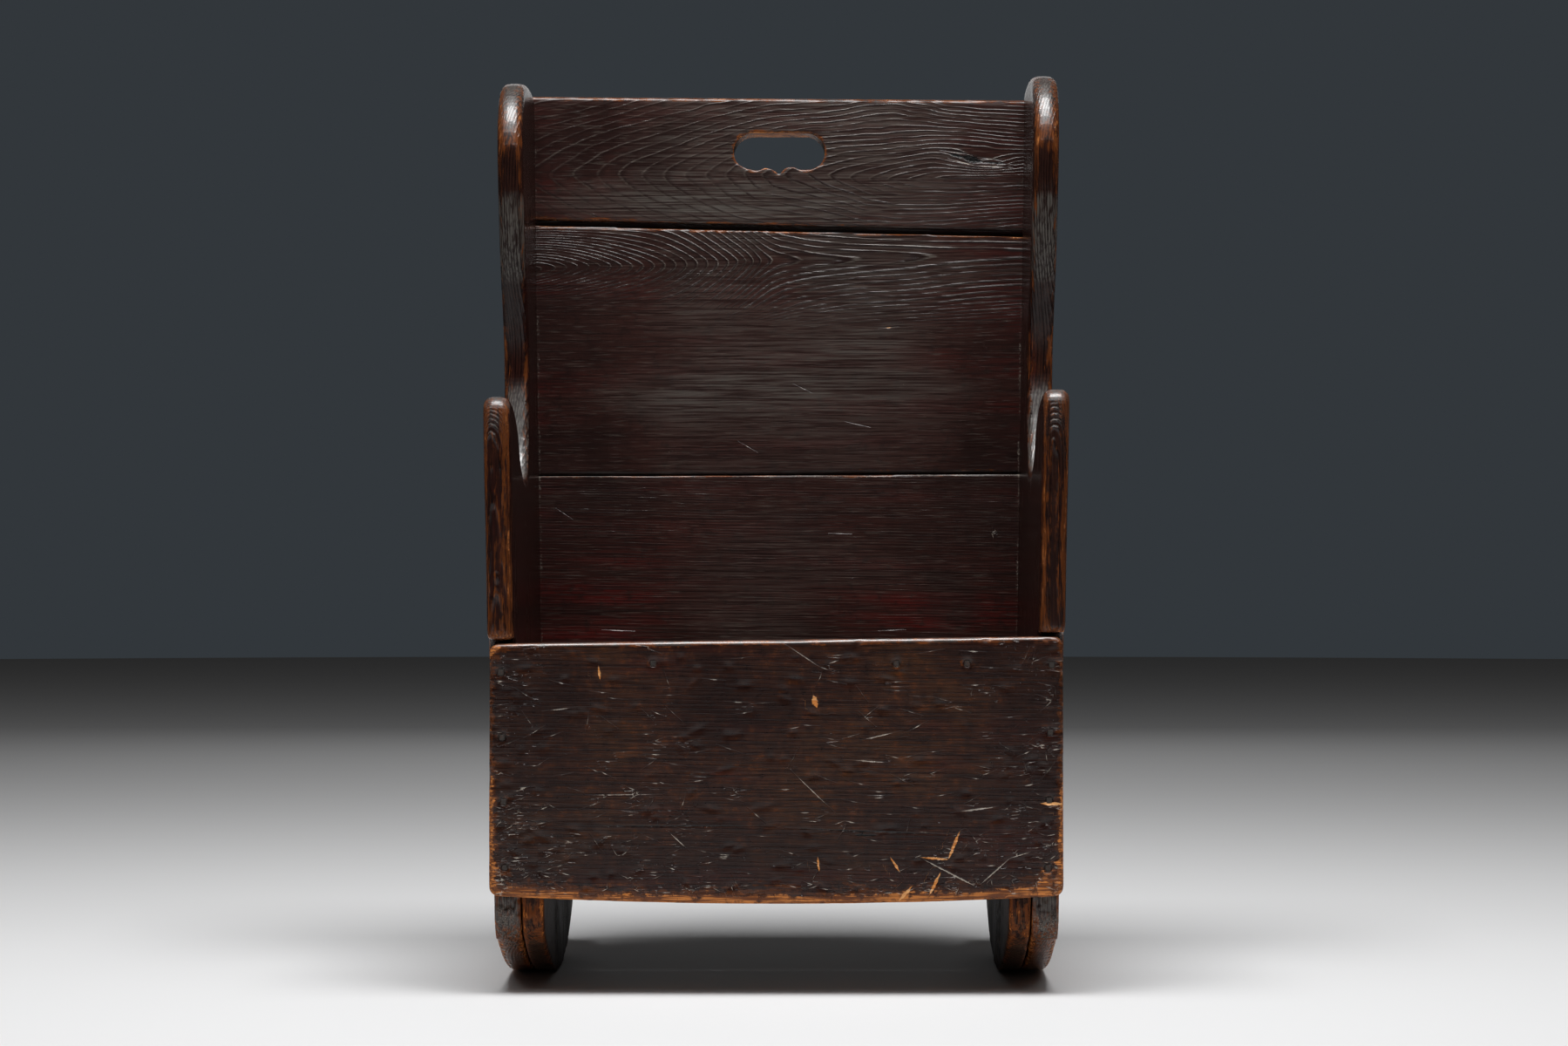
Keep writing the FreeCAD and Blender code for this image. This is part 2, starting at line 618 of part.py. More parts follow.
def back_nail_drives(hand):
    """From outside through a side plank into the ends of the back boards."""
    spans = (
        (0, LOWER_SEAM),
        (LOWER_SEAM + LOWER_SEAM_GAP, UPPER_SEAM),
        (UPPER_SEAM + UPPER_SEAM_GAP, BACK_HEIGHT),
    )
    drives = []
    for low, high in spans:
        for share in BACK_NAIL_SHARES:
            up = low + share * (high - low)
            height = SEAT_HEIGHT + up * RAKE_COS
            distance = raked_distance(BACK_FACE_OFFSET + BACK_THICKNESS / 2, height)
            place = Vector(hand * outer_half(height), distance, height)
            drives.append((place, -outward(hand), SIDE_THICKNESS + NAIL_BITE))
    return drives


def drilled(shape, drives):
    holes = [nail_hole(*drive) for drive in drives]
    return shape.cut(Part.makeCompound(holes)).Solids[0]


def chair():
    """All pieces by name, in their places behind the front plane."""
    hands = {"left": -1, "right": 1}
    front_drives = {name: front_nail_drives(hand) for name, hand in hands.items()}
    seat_drives = {name: seat_nail_drives(hand) for name, hand in hands.items()}
    cheek_drives = {name: cheek_nail_drives(hand) for name, hand in hands.items()}
    back_drives = {name: back_nail_drives(hand) for name, hand in hands.items()}
    seat_front_edge = seat_front_drives()
    seat_back_edge = seat_back_drives()
    every_seat_drive = seat_drives["left"] + seat_drives["right"] + seat_front_edge + seat_back_edge
    every_back_drive = back_drives["left"] + back_drives["right"]

    pieces = {}
    for name, hand in hands.items():
        rise = RIGHT_RISE if hand > 0 else 0.0
        side_drives = front_drives[name] + cheek_drives[name] + back_drives[name]
        pieces[name + "_side"] = drilled(side_plank(hand, rise), side_drives)
        cheek_holes = seat_drives[name] + cheek_drives[name]
        pieces[name + "_rocker_cheek"] = drilled(rocker_cheek(hand), cheek_holes)
    front_holes = front_drives["left"] + front_drives["right"] + seat_front_edge
    pieces["front_board"] = drilled(front_board(), front_holes)
    seat_front, seat_rear = seat_boards()
    pieces["seat_front_board"] = drilled(seat_front, every_seat_drive)
    pieces["seat_rear_board"] = drilled(seat_rear, every_seat_drive)
    pieces["back_lower_board"] = drilled(back_lower_board(), every_back_drive + seat_back_edge)
    pieces["back_middle_board"] = drilled(back_middle_board(), every_back_drive)
    pieces["back_top_board"] = drilled(back_top_board(), every_back_drive)

    nail_groups = {"seat_front_nails": seat_front_edge, "seat_back_nails": seat_back_edge}
    for name in hands:
        nail_groups["front_nails_" + name] = front_drives[name]
        nail_groups["seat_nails_" + name] = seat_drives[name]
        nail_groups["cheek_nails_" + name] = cheek_drives[name]
        nail_groups["back_nails_" + name] = back_drives[name]
    for group, drives in nail_groups.items():
        pieces[group] = Part.makeCompound([nail(*drive) for drive in drives])
    return pieces


os.makedirs("parts", exist_ok=True)
for piece_name, piece in chair().items():
    piece.translate(Vector(0, -OVERALL_DEPTH / 2, 0))
    piece.exportStep(os.path.join("parts", piece_name + ".step"))
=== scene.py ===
import math
from dataclasses import dataclass
from types import SimpleNamespace

import bpy
import numpy as np
from bpy.props import FloatProperty, FloatVectorProperty, IntProperty, PointerProperty
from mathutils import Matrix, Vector


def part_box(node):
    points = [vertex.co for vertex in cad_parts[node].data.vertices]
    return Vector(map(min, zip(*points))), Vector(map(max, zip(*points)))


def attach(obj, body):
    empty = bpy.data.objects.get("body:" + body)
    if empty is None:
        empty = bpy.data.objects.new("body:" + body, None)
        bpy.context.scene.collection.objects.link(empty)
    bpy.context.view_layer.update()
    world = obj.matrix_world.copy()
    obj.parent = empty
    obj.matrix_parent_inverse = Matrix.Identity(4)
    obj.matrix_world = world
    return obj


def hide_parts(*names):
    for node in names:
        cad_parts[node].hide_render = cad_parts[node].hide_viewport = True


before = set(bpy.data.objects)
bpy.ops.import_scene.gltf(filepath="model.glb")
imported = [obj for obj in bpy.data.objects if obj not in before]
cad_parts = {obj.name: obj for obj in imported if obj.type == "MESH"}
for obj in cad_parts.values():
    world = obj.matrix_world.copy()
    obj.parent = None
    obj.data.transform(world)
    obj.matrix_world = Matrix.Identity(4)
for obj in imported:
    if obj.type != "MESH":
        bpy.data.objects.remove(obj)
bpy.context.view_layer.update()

bl_info = {
    "name": "Child rocking chair",
    "version": (1, 0, 0),
    "blender": (4, 5, 0),
    "location": "3D View > Sidebar > Chair",
    "description": "Dresses the packed rocking chair in old waxed softwood",
    "category": "Object",
}

MM = 0.001

# Places that several pieces share, in metres: left is -X and the front is -Y
FRONT_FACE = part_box("front_board")[0].y
BACK_RAKE = math.radians(6.0)
SIDE_FACE_AT_FLOOR = 186.75 * MM
SIDE_LEAN = math.tan(math.radians(1.12))

# Ways that a surface can face
FORWARD = (0.0, -1.0, 0.0)
BACKWARD = (0.0, 1.0, 0.0)
UPWARD = (0.0, 0.0, 1.0)
DOWNWARD = (0.0, 0.0, -1.0)

# How often fibres repeat in a metre along X, Y and Z
ALONG_X = (16.0, 620.0, 620.0)
FINE_ALONG_X = (9.0, 860.0, 860.0)
ALONG_Z = (620.0, 620.0, 16.0)

# How far knocks and warps are drawn out along X, Y and Z
DRAWN_ALONG_X = (3.0, 1.0, 1.0)
DRAWN_ALONG_Z = (1.0, 1.0, 3.0)
DRAWN_ON_CHEEK = (1.0, 1.0, 2.0)

# Sizes of a warp, a nick, a chip and a weathered pit, and that pit's depth
WARP_SIZE = 70 * MM
NICK_SIZE = 7 * MM
CHIP_SIZE = 19 * MM
PIT_SIZE = 5 * MM
PIT_DEPTH = 0.7 * MM

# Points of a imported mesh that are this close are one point
SAME_POINT = 0.01 * MM

# Where each piece's unevenness starts in the fixed noise
BACK_SEED = 100
SEAT_SEED = 140
SIDE_SEED = 170
FRONT_SEED = 200
CHEEK_SEED = 230
NEXT_SEED = 10

# What scatters the cells of the fixed noise
HASH_PRIMES = np.array((73856093, 19349663, 83492791))
HASH_MIXER = 1274126177
HASH_BITS = 0xFFFF
SEED_SHIFT = 17.31

# Between one ring and the next: where hard grain starts and peaks, and where its pale lip does
HARD_START, HARD_PEAK = 0.5, 0.82
LIP_START, LIP_PEAK = 0.8, 0.9

# Marks: their kinds, how far from one its distance is stored, and how its ends taper
MARK_KINDS = ("bared", "scored", "cracked")
MARK_REACH_MM = 8.0
FAR_FROM_MARK_MM = 20.0
BLUNT_END_MM = 1.5
TAPERED_SHARE = 0.3


# Sizes and colours that a user would change

def length(name, description, value):
    """A length in metres, shown in the sidebar."""
    return FloatProperty(name=name, description=description, default=value, unit="LENGTH", precision=4)


def power(name, description, value):
    """A lamp's power in watts, shown in the sidebar."""
    return FloatProperty(name=name, description=description, default=value, unit="POWER")


def colour(name, description, value):
    """A plain colour, shown in the sidebar."""
    return FloatVectorProperty(name=name, description=description, default=value, subtype="COLOR",
                               size=3, min=0.0, max=1.0)


class ChairSizes(bpy.types.PropertyGroup):
    """How finely the boards are skinned and how deep their wear goes."""

    board_skin: length("Board skin", "Side of a square of the skin on the back and front boards", 1.5 * MM)
    top_skin: length("Top board skin", "Side of a square of the skin around the hand hole", 1.2 * MM)
    seat_skin: length("Seat skin", "Side of a square of the skin on the seat boards", 2.0 * MM)
    side_skin: length("Side skin", "Side of a square of the skin on the two sides", 3.2 * MM)
    cheek_skin: length("Cheek skin", "Side of a square of the skin on the rocker cheeks", 2.0 * MM)
    softening: IntProperty(name="Softening", description="Rounds of smoothing on sawn corners", default=2)
    side_softening: IntProperty(name="Side softening", description="The same on the two sides", default=3)
    side_cuts: IntProperty(name="Side cuts", description="Cuts in a side's front faces", default=3)
    corner_reach: length("Corner reach", "How far from a corner its wear reaches", 3.0 * MM)
    nick_depth: length("Nick depth", "How far knocks eat into a corner", 1.3 * MM)
    warp_depth: length("Warp depth", "How far a face wanders from flat", 0.35 * MM)
    ridge_depth: length("Ridge depth", "How far hard grain stands above soft grain", 0.28 * MM)


class ChairColours(bpy.types.PropertyGroup):
    """The stain, what shows under it, and the iron."""

    stain: colour("Stain", "Dark stain on soft grain", (0.033, 0.0112, 0.0084))
    side_stain: colour("Side stain", "Darker stain of the two sides", (0.031, 0.0108, 0.0068))
    stain_hard: colour("Hard grain", "Dark stain on hard grain", (0.0125, 0.0048, 0.004))
    stain_red: colour("Red stain", "Where the stain has gone red", (0.075, 0.0065, 0.005))
    front_stain: colour("Front stain", "Browner stain of the front board", (0.042, 0.0155, 0.0088))
    cheek_stain: colour("Rocker stain", "Grey-brown of the rockers' inner layers", (0.08, 0.042, 0.024))
    gold: colour("Gold", "Where the stain lets the wood glow through", (0.07, 0.027, 0.0095))
    worn: colour("Worn", "Thin stain on a rubbed corner", (0.15, 0.043, 0.011))
    bare: colour("Bare wood", "Wood with the stain knocked off", (0.66, 0.23, 0.05))
    chip: colour("Chip", "Fresh wood in a chip", (0.9, 0.45, 0.17))
    # Pale wood in fine scratches, lightened further to paint the glints along them
    scratch: colour("Scratch", "Pale wood in a fine scratch", (0.8, 0.7, 0.58))
    crack: colour("Crack", "The dark inside a crack", (0.002, 0.0015, 0.0012))
    dust: colour("Dust", "Dust and old wax in joints", (0.20, 0.17, 0.14))
    # Grey of old wax. The same grey is also laid on, through a positive tone, as painted sheen, painted
    # highlights and a painted reflection
    bloom_and_painted_sheen: colour("Bloom", "Old wax that has gone grey", (0.09, 0.08, 0.07))
    iron: colour("Iron", "Old nail iron", (0.06, 0.052, 0.047))
    rust: colour("Rust", "Rust on the nail iron", (0.06, 0.024, 0.012))
    floor: colour("Floor", "Studio floor", (0.76, 0.76, 0.765))
    backdrop: colour("Backdrop", "What shows above the floor", (0.032, 0.038, 0.044))


class ChairStage(bpy.types.PropertyGroup):
    """Where the camera and the lamps stand."""

    camera_x: length("Camera across", "Camera's place across the chair", 0.022)
    camera_distance: length("Camera distance", "From the front board to the camera", 2.8)
    camera_height: length("Camera height", "Height of the lens above the floor", 0.3207)
    aim_x: length("Aim across", "Where the camera looks, across the chair", 0.0046)
    aim_height: length("Aim height", "Where the camera looks, above the floor", 0.348)
    focal_length: FloatProperty(name="Focal length", description="Lens, in mm", default=87.81)
    floor_radius: length("Floor radius", "Radius of the studio floor", 9.45)
    key_power: power("Key", "Power of the overhead lamp", 79.0)
    fill_power: power("Fill", "Power of each front lamp", 8.0)
    rear_power: power("Rear", "Power of the lamp behind the chair", 5.6)
    room_light: FloatProperty(name="Room light", description="Even light from all round", default=0.018)


def settings(context):
    """The sizes and the colours that the sidebar shows."""
    return context.scene.chair_sizes, context.scene.chair_colours


# Uneven values over a surface

def mm(*values):
    """Lengths given in mm, in metres."""
    return np.array(values) * MM


def lattice_value(cell):
    """A fixed number from -1 to 1 for each whole-number cell."""
    mixed = np.bitwise_xor.reduce(cell * HASH_PRIMES, axis=1)
    mixed = (mixed ^ (mixed >> 13)) * HASH_MIXER
    return 2.0 * ((mixed ^ (mixed >> 16)) & HASH_BITS) / HASH_BITS - 1.0


def ripple(places, size, seed):
    """Smooth uneven hills from -1 to 1, about size apart, one size or one for each axis."""
    scaled = places / np.asarray(size) + SEED_SHIFT * seed
    cell = np.floor(scaled).astype(np.int64)
    part = scaled - cell
    ease = part * part * (3.0 - 2.0 * part)
    total = np.zeros(len(places))
    for corner in np.ndindex(2, 2, 2):
        share = np.prod(np.where(corner, ease, 1.0 - ease), axis=1)
        total += share * lattice_value(cell + np.array(corner))
    return total


def hump(value, centre, width):
    """1 at the centre, falling away over the width."""
    return np.exp(-(((value - centre) / width) ** 2))


def spot(x, z, place, reach):
    """1 at a place on a face, falling away over a reach; both are (x, z) in metres."""
    return hump(x, place[0], reach[0]) * hump(z, place[1], reach[1])


def ramp(value, start, end):
    """0 before start, 1 after end, eased between."""
    part = np.clip((value - start) / (end - start), 0.0, 1.0)
    return part * part * (3.0 - 2.0 * part)


def fall(value, start, end):
    """1 before start, 0 after end, eased between."""
    return 1.0 - ramp(value, start, end)


def between(value, start, full, fading, end):
    """0 before start, 1 from full to fading, 0 after end, eased between."""
    return ramp(value, start, full) * fall(value, fading, end)


def eased_line(x, points, blur):
    """A line through a few points, its corners eased over the blur."""
    knots, heights = np.array(points).T
    shifts = (-1.0, -0.5, 0.0, 0.5, 1.0)
    return np.mean([np.interp(x + shift * blur, knots, heights) for shift in shifts], axis=0)


# Skins: a board's mesh as arrays

class Skin:
    """The points, normals and edges of a piece's mesh."""

    def __init__(self, piece):
        self.mesh = piece.data
        count = len(self.mesh.vertices)
        self.co = np.zeros(count * 3, np.float32)
        self.mesh.vertices.foreach_get("co", self.co)
        self.co = self.co.reshape(-1, 3).astype(float)
        self.edges = np.zeros(len(self.mesh.edges) * 2, np.int32)
        self.mesh.edges.foreach_get("vertices", self.edges)
        self.edges = self.edges.reshape(-1, 2)
        self.read_normals()

    def read_normals(self):
        self.normal = np.zeros(len(self.co) * 3, np.float32)
        self.mesh.vertex_normals.foreach_get("vector", self.normal)
        self.normal = self.normal.reshape(-1, 3).astype(float)

    def facing(self, way, low, high):
        """0 to 1 as the surface turns to a way; low and high are cosines of its angle from it."""
        return ramp(self.normal @ np.array(way), low, high)

    def looks_forward(self, cosine):
        """Which points look forward, to within the angle that has this cosine."""
        return self.normal[:, 1] < -cosine

    def spread(self, values, rounds):
        """Values averaged with their neighbours', some rounds over."""
        first, second = self.edges.T
        count = len(self.co)
        near = np.bincount(self.edges.ravel(), minlength=count)[:, None]
        for _ in range(rounds):
            total = [np.bincount(first, column[second], count) + np.bincount(second, column[first], count)
                     for column in values.T]
            values = 0.5 * values + 0.5 * np.stack(total, axis=1) / near
        return values

    def smooth(self, share, rounds):
        """Moves points towards their neighbours' mean, as far as each one's share says."""
        self.co += (self.spread(self.co, rounds) - self.co) * share[:, None]

    def corners(self, skin_size, reach):
        """Above 0 on outer corners and below 0 in hollows, about 1 at a sawn corner."""
        rounds = round((2.0 * reach / skin_size) ** 2)
        away = self.co - self.spread(self.co, rounds)
        return np.clip(np.sum(away * self.normal, axis=1) / (0.4 * reach), -1.5, 1.5)

    def settle(self):
        """Writes the moved points to the mesh."""
        self.mesh.vertices.foreach_set("co", self.co.astype(np.float32).ravel())
        self.mesh.update()
        self.read_normals()

    def push(self, distance):
        """Moves each point out along its normal."""
        self.co += self.normal * distance[:, None]
        self.settle()

    def keep(self, name, values):
        """Stores one number a point for a material to read."""
        layer = self.mesh.attributes.get(name) or self.mesh.attributes.new(name, "FLOAT", "POINT")
        layer.data.foreach_set("value", values.astype(np.float32))

    def take(self, name):
        """The numbers that were stored under a name."""
        values = np.zeros(len(self.co), np.float32)
        self.mesh.attributes[name].data.foreach_get("value", values)
        return values.astype(float)


def aged_copy(node, skin_size, softening):
    """A copy of a board from the frame, skinned evenly, with its sawn corners softened."""
    bpy.ops.object.select_all(action="DESELECT")
    piece = bpy.data.objects.new(node + "_aged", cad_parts[node].data.copy())
    bpy.context.scene.collection.objects.link(piece)
    piece.select_set(True)
    bpy.context.view_layer.objects.active = piece
    bpy.ops.object.mode_set(mode="EDIT")
    bpy.ops.mesh.select_all(action="SELECT")
    bpy.ops.mesh.remove_doubles(threshold=SAME_POINT)
    bpy.ops.object.mode_set(mode="OBJECT")
    remesh = piece.modifiers.new("Even skin", "REMESH")
    remesh.mode = "VOXEL"
    remesh.voxel_size = skin_size
    bpy.ops.object.modifier_apply(modifier=remesh.name)
    smooth = piece.modifiers.new("Softened corners", "SMOOTH")
    smooth.iterations = softening
    bpy.ops.object.modifier_apply(modifier=smooth.name)
    bpy.ops.object.shade_smooth()
    piece.data.materials.clear()
    return piece


def refine(piece, cuts):
    """Splits the faces that look forward into smaller ones, to carry fine grain."""
    mesh = piece.data
    normals = np.zeros(len(mesh.polygons) * 3, np.float32)
    mesh.polygons.foreach_get("normal", normals)
    mesh.polygons.foreach_set("select", normals.reshape(-1, 3)[:, 1] < -0.3)
    bpy.context.tool_settings.mesh_select_mode = (False, False, True)
    bpy.ops.object.mode_set(mode="EDIT")
    bpy.ops.mesh.subdivide(number_cuts=cuts)
    bpy.ops.object.mode_set(mode="OBJECT")
    bpy.ops.object.shade_smooth()


def finish_piece(piece, node, material):
    """Sets a piece in the frame in place of its board."""
    piece.data.materials.append(material)
    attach(piece, "root")
    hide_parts(node)


def age(skin, skin_size, sizes, drawn, seed, wear=1.0):
    """Warps the faces and knocks nicks out of the corners, as hard as wear says.

    Returns how exposed each point is, as Skin.corners does.
    """
    corner = skin.corners(skin_size, sizes.corner_reach)
    warp = ripple(skin.co, WARP_SIZE * np.array(drawn), seed) - 1.0
    nicks = np.clip(ripple(skin.co, NICK_SIZE * np.array(drawn), seed + 1) * 1.6 - 0.5, 0.0, 1.0)
    chips = np.clip(ripple(skin.co, CHIP_SIZE * np.array(drawn), seed + 2) * 1.8 - 0.6, 0.0, 1.0)
    bite = np.clip(corner, 0.0, 1.2) * (0.15 + 0.5 * nicks + 0.8 * chips) * wear
    skin.push(0.5 * sizes.warp_depth * warp - sizes.nick_depth * bite)
    return corner


def ridges(skin, rings, depth):
    """Raises the hard grain where the rings are wide enough for the skin to carry them."""
    part = rings - np.floor(rings)
    late = between(part, HARD_START, HARD_PEAK, HARD_PEAK, 1.0)
    first, second = skin.edges.T
    step = np.zeros(len(rings))
    np.maximum.at(step, first, np.abs(rings[first] - rings[second]))
    np.maximum.at(step, second, np.abs(rings[first] - rings[second]))
    skin.push(depth * (late - 0.7) * fall(step, 0.22, 0.4))
    return late


def weathered(co, seed):
    """Small pits, from -1 to 0.4, that floor and damp leave on the rockers' ends."""
    return np.clip(ripple(co, PIT_SIZE, seed) + 0.6 * ripple(co, 0.5 * PIT_SIZE, seed + 2), -1.0, 0.4)


def dress(skin, rings, edge, hollow=0.0, figure=1.0, knocked=0.0, reddened=0.0, tone=0.0, polish=0.0):
    """Stores what the wood reads off a board.

    That is its rings and how plainly they show, where it is rubbed (on rear and outer faces partly as
    painted light), dusty, knocked and red, where it is grey (above 0) or dark (below 0) in tone, which also
    carries painted sheen, highlights, reflection and shade, and where it is polished.
    """
    everywhere = np.ones(len(skin.co))
    skin.keep("rings", rings)
    skin.keep("edge", np.clip(edge, 0.0, 2.0))
    skin.keep("hollow", hollow * everywhere)
    skin.keep("figure", figure * everywhere)
    skin.keep("knocked", knocked * everywhere)
    skin.keep("reddened", reddened * everywhere)
    skin.keep("tone", tone * everywhere)
    skin.keep("polish", polish * everywhere)


def keep_marks(skin, kind, marks):
    """Stores each point's distance across the nearest mark and that mark's half width there.

    A mark runs from (x, z) to (x, z) and has a half width, all in mm, and tapers at its ends.
    """
    x, _, z = skin.co.T / MM
    forward = skin.looks_forward(0.3)
    nearest = np.full(len(x), MARK_REACH_MM)
    across = np.full(len(x), FAR_FROM_MARK_MM)
    width = np.zeros(len(x))
    for (start_x, start_z), (end_x, end_z), half in marks:
        size = math.hypot(end_x - start_x, end_z - start_z)
        turn_x, turn_z = (end_x - start_x) / size, (end_z - start_z) / size
        run = (x - start_x) * turn_x + (z - start_z) * turn_z
        aside = (z - start_z) * turn_x - (x - start_x) * turn_z
        past = np.maximum(np.maximum(-run, run - size), 0.0)
        gap = np.hypot(aside, past)
        closer = (gap < nearest) & forward
        nearest[closer] = gap[closer]
        across[closer] = aside[closer]
        from_end = np.minimum(run, size - run) + BLUNT_END_MM
        taper = np.clip(from_end / (TAPERED_SHARE * size + BLUNT_END_MM), 0.0, 1.0)
        width[closer] = (half * taper)[closer]
    skin.keep(kind + "_across", across)
    skin.keep(kind + "_width", width)


# Growth rings: each board's own count of rings at any point

def into_back(co):
    """Depth of a point behind the leaning face of the back."""
    depth = co[:, 1] * math.cos(BACK_RAKE) - co[:, 2] * math.sin(BACK_RAKE)
    return depth - depth.min()


def side_face(z):
    """Distance of the sides' inner faces from the middle of the chair, at a height."""
    return SIDE_FACE_AT_FLOOR + SIDE_LEAN * z


def wandering(co, amount, size, seed):
    """The points, each moved a little, so that grain wavers as it grows."""
    moved = [ripple(co, size, seed + axis) for axis in range(3)]
    return co + amount * np.stack(moved, axis=1)


def widths(radius, spacing, seed):
    """Rings counted out from the pith, some years wider than others."""
    years = np.stack([radius, np.zeros_like(radius), np.zeros_like(radius)], axis=1)
    return radius / spacing + 0.7 * ripple(years, 5.0 * spacing, seed)


def top_board_rings(co):
    """Long arches that open towards an eye and a knot near the right end."""
    eye_x, eye_z = 124 * MM, 633 * MM
    knot, knot_reach = mm(164, 645.5), mm(24, 9)
    point = 16 * MM
    fullness = 1.45
    spacings = ((-210 * MM, 5.0 * MM), (0.0, 4.6 * MM), (150 * MM, 3.3 * MM), (210 * MM, 3.0 * MM))
    bent = wandering(co, 3.2 * MM, mm(60, 30, 26), 3)
    bent = wandering(bent, 1.0 * MM, mm(14, 30, 9), 5)
    x, z = bent[:, 0], bent[:, 2]
    run = np.logaddexp(0.0, (eye_x - x) / point) * point
    lean = 0.3 * run + 0.6 * into_back(co)
    radius = (lean ** fullness + np.abs(z - eye_z) ** fullness) ** (1.0 / fullness)
    return radius / eased_line(x, spacings, 20 * MM) + 2.6 * spot(x, z, knot, knot_reach)


def middle_board_rings(co):
    """Waves that point right in the upper third, over fine level lines."""
    band = 35 * MM
    blunt = 5 * MM
    level_spacing = 2.2 * MM
    first_at_band = 18.0
    heart_counts = ((-210 * MM, -1.0), (-190 * MM, 0.0), (-31 * MM, 18.0), (-8 * MM, 22.0),
                    (30 * MM, 23.3), (130 * MM, 25.0), (210 * MM, 25.6))
    band_counts = ((-210 * MM, first_at_band), (-75 * MM, 18.2), (-5 * MM, 30.0), (80 * MM, 32.5),
                   (210 * MM, 34.0))
    bent = wandering(co, 1.5 * MM, mm(55, 30, 26), 11)
    x, z = bent[:, 0], bent[:, 2]
    heart = 563 * MM + 0.034 * x
    at_heart = eased_line(x, heart_counts, 9 * MM)
    at_band = eased_line(x, band_counts, 25 * MM)
    away = (np.hypot(z - heart, blunt) - blunt) / band
    below = np.maximum(away - 1.0, 0.0) * band
    flattened = 0.5 * (at_band - first_at_band) * (1.0 - np.exp(-below / (80 * MM)))
    level = below / level_spacing - flattened
    return at_heart + (at_band - at_heart) * np.minimum(away, 1.0) + level + into_back(co) / (4 * MM)


def lower_board_rings(co):
    """Fine lines, almost level."""
    bent = wandering(co, 1.3 * MM, mm(120, 30, 30), 21)
    radius = np.hypot(0.16 + into_back(co), bent[:, 2] - 0.12 + 0.02 * bent[:, 0])
    return widths(radius, 1.8 * MM, 5)


def front_board_rings(co):
    """Level lines, wavering a little."""
    bent = wandering(co, 2.6 * MM, mm(110, 30, 24), 31)
    depth = co[:, 1] - FRONT_FACE
    radius = np.hypot(0.06 + depth, bent[:, 2] + 0.05 + 0.02 * bent[:, 0])
    return widths(radius, 3.1 * MM, 6)


def seat_board_rings(co):
    """Lines along the seat's width, arching a little."""
    bent = wandering(co, 2.0 * MM, mm(110, 26, 30), 41)
    top = co[:, 2].max()
    middle = 0.5 * (co[:, 1].min() + co[:, 1].max())
    radius = np.hypot(0.05 + 0.09 * bent[:, 0] + top - co[:, 2], bent[:, 1] - middle + 0.01)
    return widths(radius, 3.0 * MM, 7)


def side_rings(co, side, heart):
    """Upright rings, nearly in line with the faces, boxing the heart at the arm's front edge."""
    heart_top = 414 * MM
    blunt = 6 * MM
    bent = wandering(co, 1.2 * MM, mm(26, 30, 130), 51 + side)
    x, y, z = bent.T
    log = np.hypot(x - (0.25 + 0.205 * side) - 0.03 * (z - 0.35), y + 0.11)
    plank = widths(log, 2.1 * MM, 8 + side)
    near_front = hump(y, FRONT_FACE + 12 * MM, 17 * MM) * ramp(z, 0.2, 0.27)
    bent = wandering(bent, 0.7 * MM, mm(15, 30, 34), 55 + side)
    x, y, z = wandering(bent, 0.7 * MM, mm(6, 12, 9), 58 + side).T
    above = np.logaddexp(0.0, (z - heart_top) / blunt) * blunt
    boxed = (np.hypot(x - heart, 1.2 * MM) + above + 0.3 * (y - FRONT_FACE)) / (2.5 * MM)
    return plank + near_front * (boxed - plank + np.floor(plank.mean()))


def cheek_rings(co, side):
    """Upright rings across the rocker cheeks."""
    bent = wandering(co, 1.6 * MM, mm(30, 40, 110), 61 + side)
    log = np.hypot(bent[:, 0] - 0.36 * side, bent[:, 1] - 0.02 + 0.1 * bent[:, 2])
    return widths(log, 2.7 * MM, 9 + side)


# Materials

